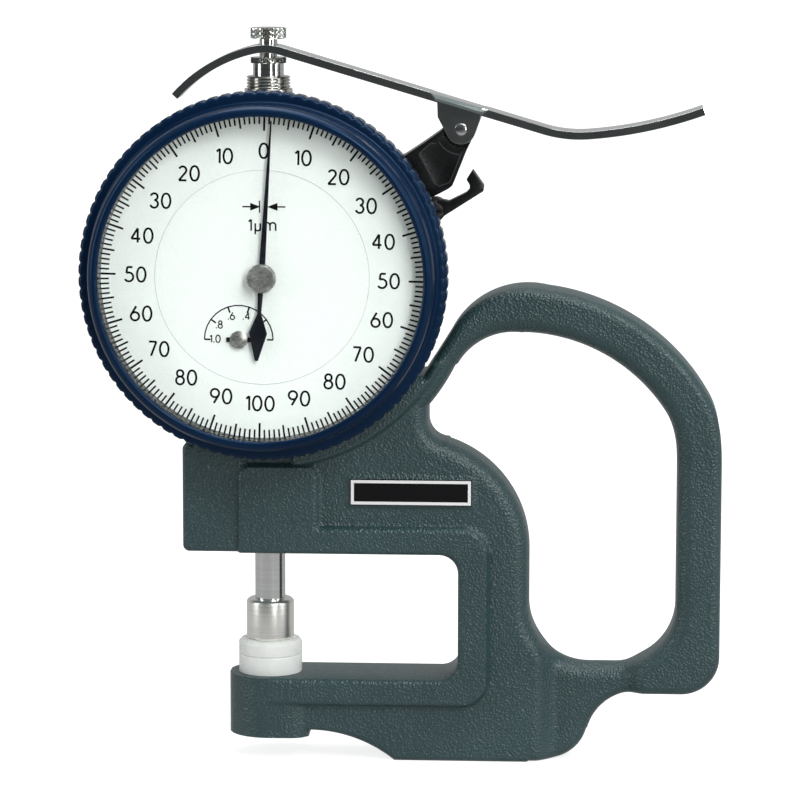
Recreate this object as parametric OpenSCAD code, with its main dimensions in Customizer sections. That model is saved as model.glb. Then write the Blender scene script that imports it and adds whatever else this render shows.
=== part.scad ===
// Dial thickness gauge: a cast C-frame with a closed handle carries a dial indicator.
// X runs along the throat, Y away from the dial, Z up. The origin is the middle of the foot.

/* [Frame] */
// Depth of the throat, from the spindle axis to the throat wall
throat_depth = 30; // [27:0.5:36]
// Height of the throat
throat_h = 20; // [18:0.5:24]
// Height of the throat floor above the foot
floor_z = 13.2; // [12.4:0.1:14.4]
// Thickness of the raised rim round the throat
rim_t = 13.6; // [13:0.1:14.4]
// Width of the raised rim
rim_w = 4.2; // [3.2:0.1:5]
// How far the plate and the handle lie below the rim
plate_drop = 1.25; // [0.8:0.05:1.6]
// How far the head reaches in front of the spindle axis
head_reach = 13.3; // [12:0.1:15]
// Height of the head
head_h = 17.2; // [16.6:0.1:17.6]
// Width of the column behind the throat
column_w = 11; // [10:0.2:12]
// Length of the flat foot
foot_l = 23; // [21:0.5:25]
// Diameter of the anvil boss
boss_d = 12.9; // [12.4:0.1:14]

/* [Handle] */
// Width of the handle bar
handle_w = 6.9; // [6:0.1:8]
// Thickness of the web below the handle opening
web_t = 6.6; // [5:0.2:8]
// Inner radius of the handle's back
grip_r = 27.1; // [26.6:0.1:28]
// Rounding of the handle's inner edges
inner_round = 2.4; // [1:0.1:2.6]
// Rounding of the handle's outer edges
outer_round = 1.4; // [0.8:0.1:2]

/* [Contacts] */
// Diameter of the ceramic faces
contact_d = 10; // [8:0.5:12]
// Height of the anvil above the throat floor
anvil_h = 2.9; // [2.2:0.1:4]
// Height of the contact tip
tip_h = 2.4; // [1.8:0.1:3]
// Diameter of the contact holder
holder_d = 7.5; // [6.5:0.1:8.5]
// Height of the contact holder
holder_h = 6.4; // [5:0.1:7]

/* [Indicator] */
// Height of the dial centre above the throat roof
dial_rise = 44.2; // [43.8:0.1:45]
// Diameter of the bezel over its knurl
bezel_d = 57; // [56:0.2:60]
// Width of the bezel outside the case
bezel_w = 2.5; // [2.2:0.1:3]
// Wall of the case
case_wall = 1.6; // [1.2:0.1:2]
// Diameter of the fixed middle of the dial
centre_d = 33; // [31:0.5:35]
// Diameter of the spindle
spindle_d = 4.8; // [4.6:0.1:5]
// Diameter of the stem
stem_d = 8; // [7.6:0.1:8.6]
// Measuring range
travel = 1; // [0.6:0.1:1]
// Gap between the main hand's tip and the bezel's lip
hand_gap = 0.7; // [0.5:0.1:4]
// Length of the main hand's tail
hand_tail = 12.8; // [10:0.2:14]
// Counter axis, to the left of the dial centre
counter_left = 3.6; // [3:0.1:4.2]
// Counter axis, below the dial centre
counter_down = 9.6; // [9:0.1:10]

/* [Lever] */
// Thickness of the lever strip
lever_t = 1.2; // [0.8:0.1:1.4]
// Width of the lever strip
lever_w = 7; // [6.4:0.2:9]
// Slope of the lever's straight stretch
lever_slope = 16.5; // [15.8:0.1:17]
// Diameter of the lever's pivot pin
pin_d = 1.85; // [1.4:0.05:2.2]
// Diameter of the lifting knob
knob_d = 5.7; // [5:0.1:7]
// Diameter of the knob's neck
neck_d = 2.8; // [2.2:0.1:3]

/* [Fits] */
// Radial clearance of a turning or sliding fit
fit = 0.05; // [0.03:0.01:0.08]
// Radial clearance of a fixed fit
press = 0.02; // [0.01:0.01:0.03]
// Gap between pieces that pass each other
gap = 0.4; // [0.3:0.05:0.5]

/* [Hidden] */
$fn = 64;
eps = 0.01;
big = 60;

// Heights and levels of the frame
roof_z = floor_z + throat_h;
dial_z = roof_z + dial_rise;
rim_y = rim_t / 2;
plate_y = rim_y - plate_drop;
web_y = web_t / 2;
throat_corner = 3;
rim_corner = 4.5;
foot_x0 = throat_depth - 10;
foot_x1 = foot_x0 + foot_l;
foot_mid = (foot_x0 + foot_x1) / 2;
column_x = throat_depth + column_w;
boss_z = 3.6;

// The handle opening: circles that bound it, as centre and radius
handle_x = throat_depth + 9.5;
grip_c = [handle_x, roof_z + 7.8];
grip_out_r = grip_r + handle_w;
grip_x = handle_x + 24.6;
grip_out_x = grip_x + handle_w;
shoulder_c = [handle_x - 1, roof_z + 24.8];
shoulder_r = 10.1;
shoulder_out_c = [handle_x + 1.1, roof_z + 28.4];
shoulder_out_r = 13.5;
crescent_r = 32.8;
cusp_c = [throat_depth - 1.6, roof_z + 20.8];
cusp_r = 3.3;
bulge_c = [column_x - 18.4, roof_z - 0.2];
bulge_r = 18.4;
opening_z = 15.3;
floor_r = 9.5;
floor_left_c = [column_x + floor_r, opening_z + floor_r];
floor_right_c = [grip_x - floor_r, opening_z + floor_r];
heel_r = 6;
heel_z = 11;
heel_c = [grip_out_x - heel_r, heel_z + heel_r];
web_x0 = column_x + 1;
web_x1 = grip_x - 4.8;
web_ramp = 3.6;
case_d = bezel_d - 2 * bezel_w;
seat_r = case_d / 2 + 1;
collar_r = 30.6;

// Movement of the indicator: levels are depths in front of the spindle axis
case_r = case_d / 2;
case_in = case_r - case_wall;
lip_r = case_r - 1.1;
hand_l = lip_r - hand_gap;
case_front = 9;
case_back = -7.6;
base_front = 3.8;
plate_t = 0.8;
base_back = base_front - plate_t;
front_back = 9.8;
front_front = front_back + plate_t;
dial_front = 12.6;
dial_t = 0.5;
wheel_t = 0.5;
pinion_l = 1;
rack_level = 4.8;
drive_level = 6.85;
counter_level = 8.45;
spring_level = 5.8;
arbor_r = 0.5;
pivot_r = 0.3;
journal_r = 0.5;
jewel_r = 1.2;
addendum = 0.9;
dedendum = 1.25;
rack_pitch = 0.5;
rack_teeth = 20;
rack_m = rack_pitch / PI;
rack_gear_teeth = 75;
inter_teeth = 10;
rack_gear_m = 0.24;
inter_gear_teeth = 80;
centre_teeth = 12;
inter_gear_m = 0.2;
counter_gear_teeth = 80;
counter_teeth = 8;
counter_c = [-counter_left, dial_z - counter_down];
counter_m = 2 * norm([counter_left, counter_down]) / (counter_gear_teeth + counter_teeth);
rack_depth = 0.5;
rack_x = spindle_d / 2 - rack_depth + rack_m * rack_teeth / 2;
centre_c = [0, dial_z];
inter_angle = 20;
inter_dist = inter_gear_m * (inter_gear_teeth + centre_teeth) / 2;
inter_c = centre_c + inter_dist * [cos(inter_angle), sin(inter_angle)];
rack_dist = rack_gear_m * (rack_gear_teeth + inter_teeth) / 2;
rack_c = [rack_x, inter_c[1] + sqrt(pow(rack_dist, 2) - pow(inter_c[0] - rack_x, 2))];
guide_z = dial_z - 2;
guide_pin_r = 0.6;
guide_x = -spindle_d / 2 - 3.8;
guide_w = 2;
spring_r = 1;
spring_wire = 0.2;
spring_x = -spindle_d / 2 - 2;
spring_l = 13.5;
spring_turns = 7;
post_r = 0.6;
post_z = guide_z - spring_l - guide_pin_r - post_r - 2 * fit;
pillar_r = 1.6;
pillars = [[-10.5, 11], [14, -7], [-15, -5]];
cover_screw_r = case_in - 1.9;
cover_angles = [45, 135, 225, 315];

// Lever, bracket and clamp
pivot = polar(centre_c, case_r + 11.4, 36.41);
ear_t = 1;
ear_r = 2.3;
tongue_y = lever_w / 2 - ear_t - 0.25;
bracket_y = lever_w / 2;
bracket_angle = 33;
top_z = dial_z + case_r;
collar_z = top_z + 6.15;
collar_h = 0.9;
neck_h = 2.9;
knob_h = 1.7;
lever_mid = [3, top_z + 7.9];
bend_step = 1.5;
clamp_pivot = polar(centre_c, case_r + 1.84, 20.39);
clamp_screw_r = 1;
bezel_back = 7.6;
clamp_front = bezel_back - 1.3;
clamp_t = 3;

// Moves what is drawn about the spindle axis to the middle of the foot
module place() {
    translate([-foot_mid, 0, 0]) children();
}

// Stands an outline drawn in X and Z up, spread equally to both sides
module slab(half) {
    rotate([90, 0, 0]) linear_extrude(2 * half, center = true) children();
}

// Stands an outline up between two depths in front of the spindle axis
module layer(back, front) {
    translate([0, -back, 0]) rotate([90, 0, 0]) linear_extrude(front - back) children();
}

// A round bar along the depth, at a point of X and Z
module bar(at, back, front, r) {
    translate([at[0], -back, at[1]]) rotate([90, 0, 0]) cylinder(h = front - back, r = r);
}

// A profile of radius and depth turned about an axis along the depth
module turned(at) {
    translate([at[0], 0, at[1]]) rotate([90, 0, 0]) rotate_extrude() children();
}

module disc(at, r) {
    translate(at) circle(r = r);
}

// A rectangle between two corners
module span(low, high) {
    translate(low) square(high - low);
}

// A rectangle between two corners with all corners rounded
module round_span(low, high, r) {
    span(low + [r, 0], high - [r, 0]);
    span(low + [0, r], high - [0, r]);
    for (x = [low[0] + r, high[0] - r])
        for (z = [low[1] + r, high[1] - r])
            disc([x, z], r);
}

// The waste that rounds an edge: its corner lies at radius r and level h
// side is 1 for an edge with metal inside the radius, and -1 for one with metal outside
module edge_waste(r, h, e, side) {
    over = 0.5;
    difference() {
        polygon([
            [r, h - e], [r + side * over, h - e], [r + side * over, h + over],
            [r - side * e, h + over], [r - side * e, h]
        ]);
        translate([r - side * 1.09 * e, h - 1.09 * e]) circle(r = 1.1 * e);
    }
}

// Rounds both edges of an arc of the outline
module arc_round(c, r, from, to, half, e, side) {
    for (face = [0, 1])
        translate([c[0], 0, c[1]])
            rotate([90, 0, 0])
                mirror([0, 0, face])
                    rotate([0, 0, from])
                        rotate_extrude(angle = to - from) edge_waste(r, half, e, side);
}

// Rounds both edges of an upright straight stretch of the outline
module upright_round(x, low, high, half, e, side) {
    for (face = [0, 1])
        mirror([0, face, 0])
            translate([x, 0, low])
                linear_extrude(high - low)
                    mirror([0, 1]) edge_waste(0, half, e, side);
}

// A toothed wheel: slim teeth with room at tip and root
module wheel(teeth, m, turn, slim, root_share, tip_share) {
    pitch_r = m * teeth / 2;
    half = 90 / teeth * slim;
    root_r = pitch_r - dedendum * m;
    tip_r = pitch_r + addendum * m;
    points = [
        for (k = [0 : teeth - 1])
            for (p = [
                [root_r, -half * root_share], [pitch_r, -half], [tip_r, -half * tip_share],
                [tip_r, half * tip_share], [pitch_r, half], [root_r, half * root_share]
            ])
                p[0] * [cos(turn + 360 / teeth * k + p[1]), sin(turn + 360 / teeth * k + p[1])]
    ];
    polygon(points);
}

module gear_wheel(teeth, m, turn) {
    wheel(teeth, m, turn, 0.84, 1.15, 0.5);
}

module pinion_wheel(teeth, m, turn) {
    wheel(teeth, m, turn, 0.8, 0.75, 0.45);
}

// Direction from one axis to another
function heading(a, b) = atan2(b[1] - a[1], b[0] - a[0]);

function polar(c, r, a) = c + r * [cos(a), sin(a)];

// Outline of the handle opening
module handle_opening() {
    difference() {
        union() {
            intersection() {
                disc(grip_c, grip_r);
                span([shoulder_c[0], floor_left_c[1]], [grip_x, dial_z]);
            }
            disc(shoulder_c, shoulder_r);
            span([cusp_c[0] - cusp_r, cusp_c[1]], [column_x + floor_r, shoulder_c[1] + shoulder_r / 2]);
            span([column_x, floor_left_c[1]], [grip_x, cusp_c[1]]);
            span([cusp_c[0], grip_c[1]], [grip_x, cusp_c[1]]);
            disc(floor_left_c, floor_r);
            disc(floor_right_c, floor_r);
            span([floor_left_c[0], opening_z], [floor_right_c[0], floor_left_c[1]]);
        }
        disc(centre_c, crescent_r);
        disc(bulge_c, bulge_r);
        span([bulge_c[0], roof_z], [cusp_c[0], cusp_c[1]]);
    }
    disc(cusp_c, cusp_r);
}

// Everything inside the handle's outer edge, down to the web
module handle_outline() {
    intersection() {
        disc(grip_c, grip_out_r);
        span([shoulder_out_c[0], heel_c[1]], [grip_out_x, dial_z]);
    }
    disc(shoulder_out_c, shoulder_out_r);
    span([column_x, heel_c[1]], [grip_out_x, grip_c[1]]);
    disc(heel_c, heel_r);
    span([web_x1, heel_z], [heel_c[0], heel_c[1]]);
    intersection() {
        disc(centre_c, crescent_r + eps);
        span([throat_depth - 12, roof_z + head_h], [shoulder_out_c[0], shoulder_out_c[1] + 4]);
    }
}

// The plate of the C: head, column, lower arm and foot
module body_outline() {
    difference() {
        union() {
            round_span([-head_reach, roof_z], [throat_depth, roof_z + head_h], 1);
            span([0, roof_z + throat_corner], [column_x - 3, roof_z + head_h]);
            disc(bulge_c, bulge_r);
            intersection() {
                disc(centre_c, crescent_r + eps);
                span([0, roof_z], [cusp_c[0] + 2, dial_z - 16]);
            }
            span([0, 0], [column_x, roof_z]);
            span([throat_depth, 0], [web_x0, floor_left_c[1]]);
        }
        throat();
        arm_underside();
    }
}

// The throat, with rounded inner corners
module throat() {
    span([-big, floor_z], [throat_depth - throat_corner, roof_z]);
    span([-big, floor_z + throat_corner], [throat_depth, roof_z - throat_corner]);
    disc([throat_depth - throat_corner, floor_z + throat_corner], throat_corner);
    disc([throat_depth - throat_corner, roof_z - throat_corner], throat_corner);
}

// The waste below the lower arm: an arc that runs out at the foot
module arm_underside() {
    arc_r = 21.4;
    arc_x = 6.6;
    disc([arc_x, -sqrt(pow(arc_r, 2) - pow(foot_x0 - arc_x, 2))], arc_r);
    span([-big, -big], [arc_x, boss_z + 0.6]);
}

// The web between the foot and the handle's heel
module web_outline() {
    toe_r = 6.5;
    toe_c = [foot_x1 + 0.9, toe_r];
    arch_r = 8.1;
    arch_c = [grip_x - 5.9, heel_z - arch_r];
    difference() {
        union() {
            span([column_x, heel_z], [web_x1 + eps, opening_z + floor_r]);
            span([column_x, toe_c[1]], [arch_c[0], heel_z + eps]);
            span([column_x, 0], [toe_c[0], toe_r]);
            disc(toe_c, toe_r);
        }
        disc(arch_c, arch_r);
        span([arch_c[0], -big], [grip_x, heel_z - eps]);
        handle_opening();
    }
}

// The web's thickness along X: it slopes down from the foot and up to the handle
module web_section() {
    side = [
        [column_x, plate_y], [web_x0, plate_y], [web_x0 + web_ramp, web_y],
        [web_x1 - web_ramp, web_y], [web_x1, plate_y], [web_x1 + eps, plate_y]
    ];
    polygon(concat(side, [for (k = [len(side) - 1 : -1 : 0]) [side[k][0], -side[k][1]]]));
}

// The raised parts of the casting: panel, rim round the throat and collar along the bezel
module raised_outline() {
    panel_left = -4.5;
    panel_right = 8;
    panel_h = 14;
    panel_corner = 2;
    difference() {
        union() {
            round_span(
                [panel_left, roof_z - panel_corner], [panel_right, roof_z + panel_h], panel_corner
            );
            round_span(
                [-rim_w, floor_z - rim_w], [throat_depth + rim_w + 0.6, roof_z + rim_w], rim_corner
            );
            intersection() {
                disc(centre_c, collar_r);
                span([panel_right - 4, roof_z + 8], [throat_depth + 1, dial_z - 14]);
            }
        }
        throat();
        span([-big, -big], [0, floor_z + 1]);
        span([-big, floor_z], [panel_left, roof_z + rim_corner]);
    }
}

// Rounds the outer edge of the handle and the whole edge of its opening
module frame_edges() {
    land = 0.04;
    grip_low = acos((grip_x - grip_c[0]) / grip_r);
    grip_out_low = acos((grip_out_x - grip_c[0]) / grip_out_r);
    crescent_low = heading(centre_c, cusp_c) + 4;
    crescent_high = heading(centre_c, shoulder_c) + 0.5;
    bulge_high = heading(bulge_c, cusp_c) - 6;
    arc_round(grip_c, grip_out_r, grip_out_low, 89, plate_y, outer_round, 1);
    arc_round(shoulder_out_c, shoulder_out_r, 88, 165, plate_y, outer_round, 1);
    grip_out_z = grip_c[1] + grip_out_r * sin(grip_out_low);
    upright_round(grip_out_x, heel_c[1] + land, grip_out_z - land, plate_y, outer_round, 1);
    arc_round(heel_c, heel_r, -90, 0, plate_y, outer_round, 1);
    arc_round(grip_c, grip_r, grip_low, 91.45, plate_y, inner_round, -1);
    grip_z = grip_c[1] + grip_r * sin(grip_low);
    upright_round(grip_x, floor_right_c[1] + land, grip_z - land, plate_y, inner_round, -1);
    arc_round(shoulder_c, shoulder_r, 89.2, 152, plate_y, inner_round, -1);
    arc_round(centre_c, crescent_r, crescent_low, crescent_high, plate_y, inner_round, 1);
    arc_round(bulge_c, bulge_r, 0, bulge_high, plate_y, inner_round, 1);
    upright_round(column_x, floor_left_c[1] + land, bulge_c[1] - land, plate_y, inner_round, 1);
    arc_round(floor_left_c, floor_r, 180, 205, plate_y, inner_round, -1);
    arc_round(floor_right_c, floor_r, -52, -0.3, plate_y, inner_round, -1);
}

// Frame casting: one casting with a raised rim, a sunk web and a closed handle
module frame_casting() {
    color("#4a524e")
        place()
            difference() {
                union() {
                    difference() {
                        slab(plate_y) difference() {
                            union() {
                                body_outline();
                                handle_outline();
                            }
                            handle_opening();
                            span([web_x0, -big], [web_x1, floor_right_c[1]]);
                        }
                        frame_edges();
                    }
                    slab(rim_y) raised_outline();
                    intersection() {
                        slab(plate_y) web_outline();
                        linear_extrude(roof_z) web_section();
                    }
                    translate([0, 0, boss_z]) cylinder(h = floor_z - boss_z, d = boss_d);
                    layer(plate_y - eps, plate_y + name_pad_t)
                        span(name_low - [name_pad, name_pad], name_high + [name_pad, name_pad]);
                }
                slab(rim_y + 1) disc(centre_c, seat_r);
                translate([0, 0, roof_z - 1]) cylinder(h = dial_rise, r = stem_d / 2 + press);
                translate([0, 0, floor_z - anvil_shank_l])
                    cylinder(h = anvil_shank_l + 1, r = anvil_shank_r + press);
                bar([0, set_screw_z], -rim_y - 1, 0, set_screw_r + press);
            }
}

// Name plate: a thin plate on a shallow pad of the casting
name_low = [13.1, roof_z + 7.8];
name_high = name_low + [19, 4.1];
name_pad = 0.4;
name_pad_t = 0.25;
name_t = 0.4;
module name_plate() {
    color("#15171a")
        place()
            layer(plate_y + name_pad_t, plate_y + name_pad_t + name_t)
                round_span(name_low, name_high, 0.3);
}

// Anvil: a ceramic disc on a shank that is pressed into the boss
anvil_shank_r = 3;
anvil_shank_l = 5;
anvil_z = floor_z + anvil_h;
face_chamfer = 0.3;
module anvil() {
    r = contact_d / 2;
    color("#f2f1ec")
        place()
            rotate_extrude()
                polygon([
                    [0, floor_z - anvil_shank_l], [anvil_shank_r, floor_z - anvil_shank_l],
                    [anvil_shank_r, floor_z], [r, floor_z], [r, anvil_z - face_chamfer],
                    [r - face_chamfer, anvil_z], [0, anvil_z]
                ]);
}

// Contact tip: the moving ceramic face, with a stud in the holder
tip_z = anvil_z + 0.02;
tip_stud_r = 1.5;
tip_stud_l = 3;
module contact_tip() {
    r = contact_d / 2;
    top = tip_z + tip_h;
    color("#f4f3ee")
        place()
            rotate_extrude()
                polygon([
                    [0, tip_z], [r - face_chamfer, tip_z], [r, tip_z + face_chamfer],
                    [r, top - 3 * face_chamfer],
                    [r - 3 * face_chamfer, top], [tip_stud_r, top], [tip_stud_r, top + tip_stud_l],
                    [0, top + tip_stud_l]
                ]);
}

// Contact holder: a turned steel cup with a stud that screws into the spindle
holder_z = tip_z + tip_h;
holder_top = holder_z + holder_h;
holder_stud_r = 1.25;
holder_stud_l = 4;
module contact_holder() {
    r = holder_d / 2;
    bevel = 0.35;
    color("#8f9193")
        place()
            rotate_extrude()
                polygon([
                    [tip_stud_r + press, holder_z], [r - bevel, holder_z], [r, holder_z + bevel],
                    [r, holder_top - bevel], [r - bevel, holder_top], [holder_stud_r, holder_top],
                    [holder_stud_r, holder_top + holder_stud_l], [0, holder_top + holder_stud_l],
                    [0, holder_z + tip_stud_l + press],
                    [tip_stud_r + press, holder_z + tip_stud_l + press]
                ]);
}

// Spindle: a ground rod with a rack cut into its right side
spindle_top = collar_z;
module spindle() {
    color("#c9ccd0")
        place()
            difference() {
                translate([0, 0, holder_top]) cylinder(h = spindle_top - holder_top, d = spindle_d);
                translate([0, 0, holder_top - 1])
                    cylinder(h = holder_stud_l + 1.2, r = holder_stud_r + press);
                translate([0, 0, spindle_top - knob_stud_l - 0.2])
                    cylinder(h = knob_stud_l + 1, r = knob_stud_r + press);
                slab(spindle_d) rack_waste();
                translate([0, 0, guide_z])
                    rotate([0, -90, 0]) cylinder(h = spindle_d, r = guide_pin_r + press);
            }
}

// The waste between the rack's teeth
module rack_waste() {
    count = 14;
    pitch_x = spindle_d / 2 - rack_depth;
    low = rack_c[1] - (count / 2 + 1) * rack_pitch;
    points = [
        for (k = [0 : count])
            for (p = [[addendum, -0.36], [-dedendum, -0.16], [-dedendum, 0.16], [addendum, 0.36]])
                [pitch_x + p[0] * rack_m, low + k * rack_pitch + p[1] * rack_pitch]
    ];
    polygon(concat(points, [
        [pitch_x + 2, low + (count + 0.36) * rack_pitch], [pitch_x + 2, low - 0.36 * rack_pitch]
    ]));
}

// Guide pin: stops the spindle turning and holds the return spring
module guide_pin() {
    color("#a9acb0")
        place()
            translate([0, 0, guide_z])
                rotate([0, -90, 0]) cylinder(h = guide_w - guide_x, r = guide_pin_r);
}

// Lifting knob: a knurled head on a neck, screwed into the spindle's top
knob_stud_r = 1;
knob_stud_l = 4;
knob_z = collar_z + collar_h + neck_h;
module lifting_knob() {
    r = knob_d / 2;
    bevel = 0.25;
    color("#b9bcc0")
        place()
            rotate_extrude()
                polygon([
                    [0, spindle_top - knob_stud_l], [knob_stud_r, spindle_top - knob_stud_l],
                    [knob_stud_r, collar_z + collar_h], [neck_d / 2, collar_z + collar_h],
                    [neck_d / 2, knob_z],
                    [r - bevel, knob_z], [r, knob_z + bevel], [r, knob_z + knob_h - bevel],
                    [r - bevel, knob_z + knob_h], [0, knob_z + knob_h]
                ]);
}

// Lifting collar: the knurled ring below the lever
module lifting_collar() {
    color("#b4b7bb")
        place()
            translate([0, 0, collar_z])
                difference() {
                    cylinder(h = collar_h, d = knob_d);
                    translate([0, 0, -1]) cylinder(h = collar_h + 2, r = knob_stud_r + press);
                }
}

// Indicator case: a round shell with a ledge for the movement and bosses for the back cover
module indicator_case() {
    boss_r = 2.2;
    ledge = 1.2;
    lug_r = 1.75;
    color("#3a3d42")
        place()
            difference() {
                union() {
                    turned(centre_c)
                        polygon([
                            [case_in, case_back], [case_r, case_back], [case_r, case_front],
                            [case_in, case_front], [case_in, base_back], [case_in - ledge, base_back],
                            [case_in - ledge, base_back - 1], [case_in, base_back - 2.2]
                        ]);
                    for (a = cover_angles)
                        bar(polar(centre_c, cover_screw_r, a), case_back + plate_t + press, -2, boss_r);
                    difference() {
                        bar(clamp_pivot, -1, clamp_front - clamp_t - press, lug_r);
                        bar(centre_c, -2, clamp_front, case_in + 0.3);
                    }
                }
                for (a = cover_angles)
                    bar(polar(centre_c, cover_screw_r, a), case_back, -3, cover_screw_shank_r + press);
                translate([0, 0, dial_z - case_r - 2]) cylinder(h = case_wall + 4, r = stem_d / 2 + press);
                translate([0, 0, top_z - case_wall - 2]) cylinder(h = case_wall + 4, r = bush_r + press);
                bar(clamp_pivot, -2, clamp_front, clamp_screw_r + press);
                bracket_screw_places() cylinder(h = case_wall + 4, r = bracket_screw_r + press);
            }
}

// Back cover: a flat lid with a spigot
module back_cover() {
    color("#33363b")
        place()
            difference() {
                turned(centre_c)
                    polygon([
                        [0, case_back - 1], [case_r - 0.4, case_back - 1], [case_r, case_back - 0.6],
                        [case_r, case_back], [case_in - fit, case_back],
                        [case_in - fit, case_back + plate_t],
                        [0, case_back + plate_t]
                    ]);
                for (a = cover_angles)
                    bar(
                        polar(centre_c, cover_screw_r, a),
                        case_back - 2, case_back + 2, cover_screw_shank_r + press
                    );
            }
}

cover_screw_shank_r = 0.8;

// A cheese-head screw along the depth, with its slot; its head sits on the level and points backwards
module back_screw(at, level, shank_r, shank_l, head_r, head_h) {
    difference() {
        union() {
            bar(at, level - head_h, level, head_r);
            bar(at, level - eps, level + shank_l, shank_r);
        }
        translate([at[0], -level + head_h, at[1]]) cube([2 * head_r + 1, head_h, 0.4], center = true);
    }
}

module back_cover_screws() {
    color("#8d9095")
        place()
            for (a = cover_angles)
                back_screw(
                    polar(centre_c, cover_screw_r, a), case_back - 1, cover_screw_shank_r, 4, 1.6, 0.8
                );
}

// Stem: the tube that the frame holds, open for its bush
stem_bush_l = 8;
stem_bush_r = stem_d / 2 - 0.8;
stem_low = roof_z + 0.4;
module stem() {
    top = dial_z - case_in - 0.15;
    color("#b5b8bd")
        place()
            translate([0, 0, stem_low])
                difference() {
                    cylinder(h = top - stem_low, d = stem_d);
                    translate([0, 0, -1]) cylinder(h = top, r = spindle_d / 2 + 0.3);
                    translate([0, 0, -1]) cylinder(h = stem_bush_l + 1, r = stem_bush_r + press);
                }
}

// Stem bush: the spindle's lower bearing
module stem_bush() {
    color("#b08d4a")
        place()
            translate([0, 0, stem_low])
                difference() {
                    cylinder(h = stem_bush_l - press, r = stem_bush_r);
                    translate([0, 0, -1]) cylinder(h = stem_bush_l + 2, r = spindle_d / 2 + fit);
                }
}

// Set screw: a socket screw in the back of the head that holds the stem
set_screw_r = 2;
set_screw_z = roof_z + 8;
module stem_set_screw() {
    back = -rim_y + 0.6;
    socket_r = 1.15;
    color("#2b2d30")
        place()
            difference() {
                bar([0, set_screw_z], back, -stem_d / 2 - press, set_screw_r);
                translate([0, -back + eps, set_screw_z])
                    rotate([90, 0, 0]) cylinder(h = 1.2, r = socket_r, $fn = 6);
            }
}

// Upper bush: the spindle's upper bearing, with a short thread above its collar
bush_r = 3.1;
module upper_bush() {
    low = top_z - case_wall - 0.1;
    seat = top_z + 0.1;
    collar_top = seat + 2.2;
    bush_top = collar_top + 1.9;
    collar_r = 3.75;
    thread_r = 3.45;
    thread_root = 3.1;
    thread_p = 0.62;
    ridges = [
        for (k = [0 : 2])
            for (p = [[thread_root, 0], [thread_r, 0.2], [thread_r, 0.42]])
                [p[0], collar_top + 0.04 + k * thread_p + p[1]]
    ];
    color("#9da0a5")
        place()
            rotate_extrude()
                polygon(concat(
                    [
                        [spindle_d / 2 + fit, low], [bush_r, low], [bush_r, seat],
                        [collar_r, seat], [collar_r, collar_top]
                    ],
                    ridges,
                    [[thread_root, bush_top], [spindle_d / 2 + fit, bush_top]]
                ));
}

// Base plate: the rear plate of the movement, on the case's ledge
module base_plate() {
    color("#b8a064")
        place()
            difference() {
                bar(centre_c, base_back, base_front, case_in - fit);
                for (c = [centre_c, inter_c, counter_c])
                    bar(c, base_back - 1, base_front + 1, jewel_r + press);
                bar(rack_c, base_back - 1, base_front + 1, arbor_r + 0.4);
                for (p = pillars)
                    bar(centre_c + p, base_back - 1, base_front + 1, plate_screw_r + press);
                for (z = guide_screw_z)
                    bar([guide_x - guide_w / 2, z], base_back - 1, base_front + 1, plate_screw_r + press);
            }
}

// Front plate: carries the front pivots
module front_plate() {
    plate_r = 17.6;
    color("#bda568")
        place()
            difference() {
                bar(centre_c, front_back, front_front, plate_r);
                for (c = [centre_c, inter_c, counter_c, rack_c])
                    bar(c, front_back - 1, front_front + 1, jewel_r + press);
                for (p = pillars)
                    bar(centre_c + p, front_back - 1, front_front + 1, plate_screw_r + press);
                for (p = dial_feet)
                    bar(centre_c + p, front_back - 1, front_front + 1, dial_foot_r + press);
            }
}

// Pillars: tapped spacers between the plates
module plate_pillars() {
    color("#a8abb0")
        place()
            for (p = pillars)
                difference() {
                    bar(centre_c + p, base_front, front_back, pillar_r);
                    bar(centre_c + p, base_front - 1, front_back + 1, plate_screw_r + press);
                }
}

// Plate screws: from the front and from the back into each pillar
plate_screw_r = 0.7;
plate_screw_head_r = 1.3;
plate_screw_head_h = 0.55;
module plate_screws() {
    shank_l = 2.6;
    color("#5b6a86")
        place()
            for (p = pillars) {
                bar(centre_c + p, base_back - plate_screw_head_h, base_back, plate_screw_head_r);
                bar(centre_c + p, base_back - eps, base_back + shank_l, plate_screw_r);
                bar(centre_c + p, front_front, front_front + plate_screw_head_h, plate_screw_head_r);
                bar(centre_c + p, front_front - shank_l, front_front + eps, plate_screw_r);
            }
}

// A jewel: a bearing ring let into a plate
module jewel(at, back, bore) {
    difference() {
        bar(at, back, back + plate_t, jewel_r);
        bar(at, back - 1, back + plate_t + 1, bore + fit);
    }
}

module jewel_bearings() {
    color("#b3243f")
        place() {
            for (c = [centre_c, inter_c, counter_c])
                jewel(c, base_back, pivot_r);
            for (c = [inter_c, rack_c])
                jewel(c, front_back, pivot_r);
            for (c = [centre_c, counter_c])
                jewel(c, front_back, journal_r);
            jewel(rack_c, bridge_back, pivot_r);
        }
}

// Dial centre: the fixed disc in the middle of the dial, on three feet in the front plate
dial_feet = [[-12, 4], [11.5, 7], [6, -12]];
dial_foot_r = 0.7;
module dial_centre() {
    color("#eceee6")
        place()
            difference() {
                union() {
                    bar(centre_c, dial_front - dial_t, dial_front, centre_d / 2);
                    for (p = dial_feet) {
                        bar(centre_c + p, front_front, dial_front - dial_t + eps, dial_foot_r + 0.6);
                        bar(centre_c + p, front_back, front_front + eps, dial_foot_r);
                    }
                }
                bar(centre_c, dial_front - 2, dial_front + 1, 1.3);
                bar(counter_c, dial_front - 2, dial_front + 1, 0.9);
            }
}

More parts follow.
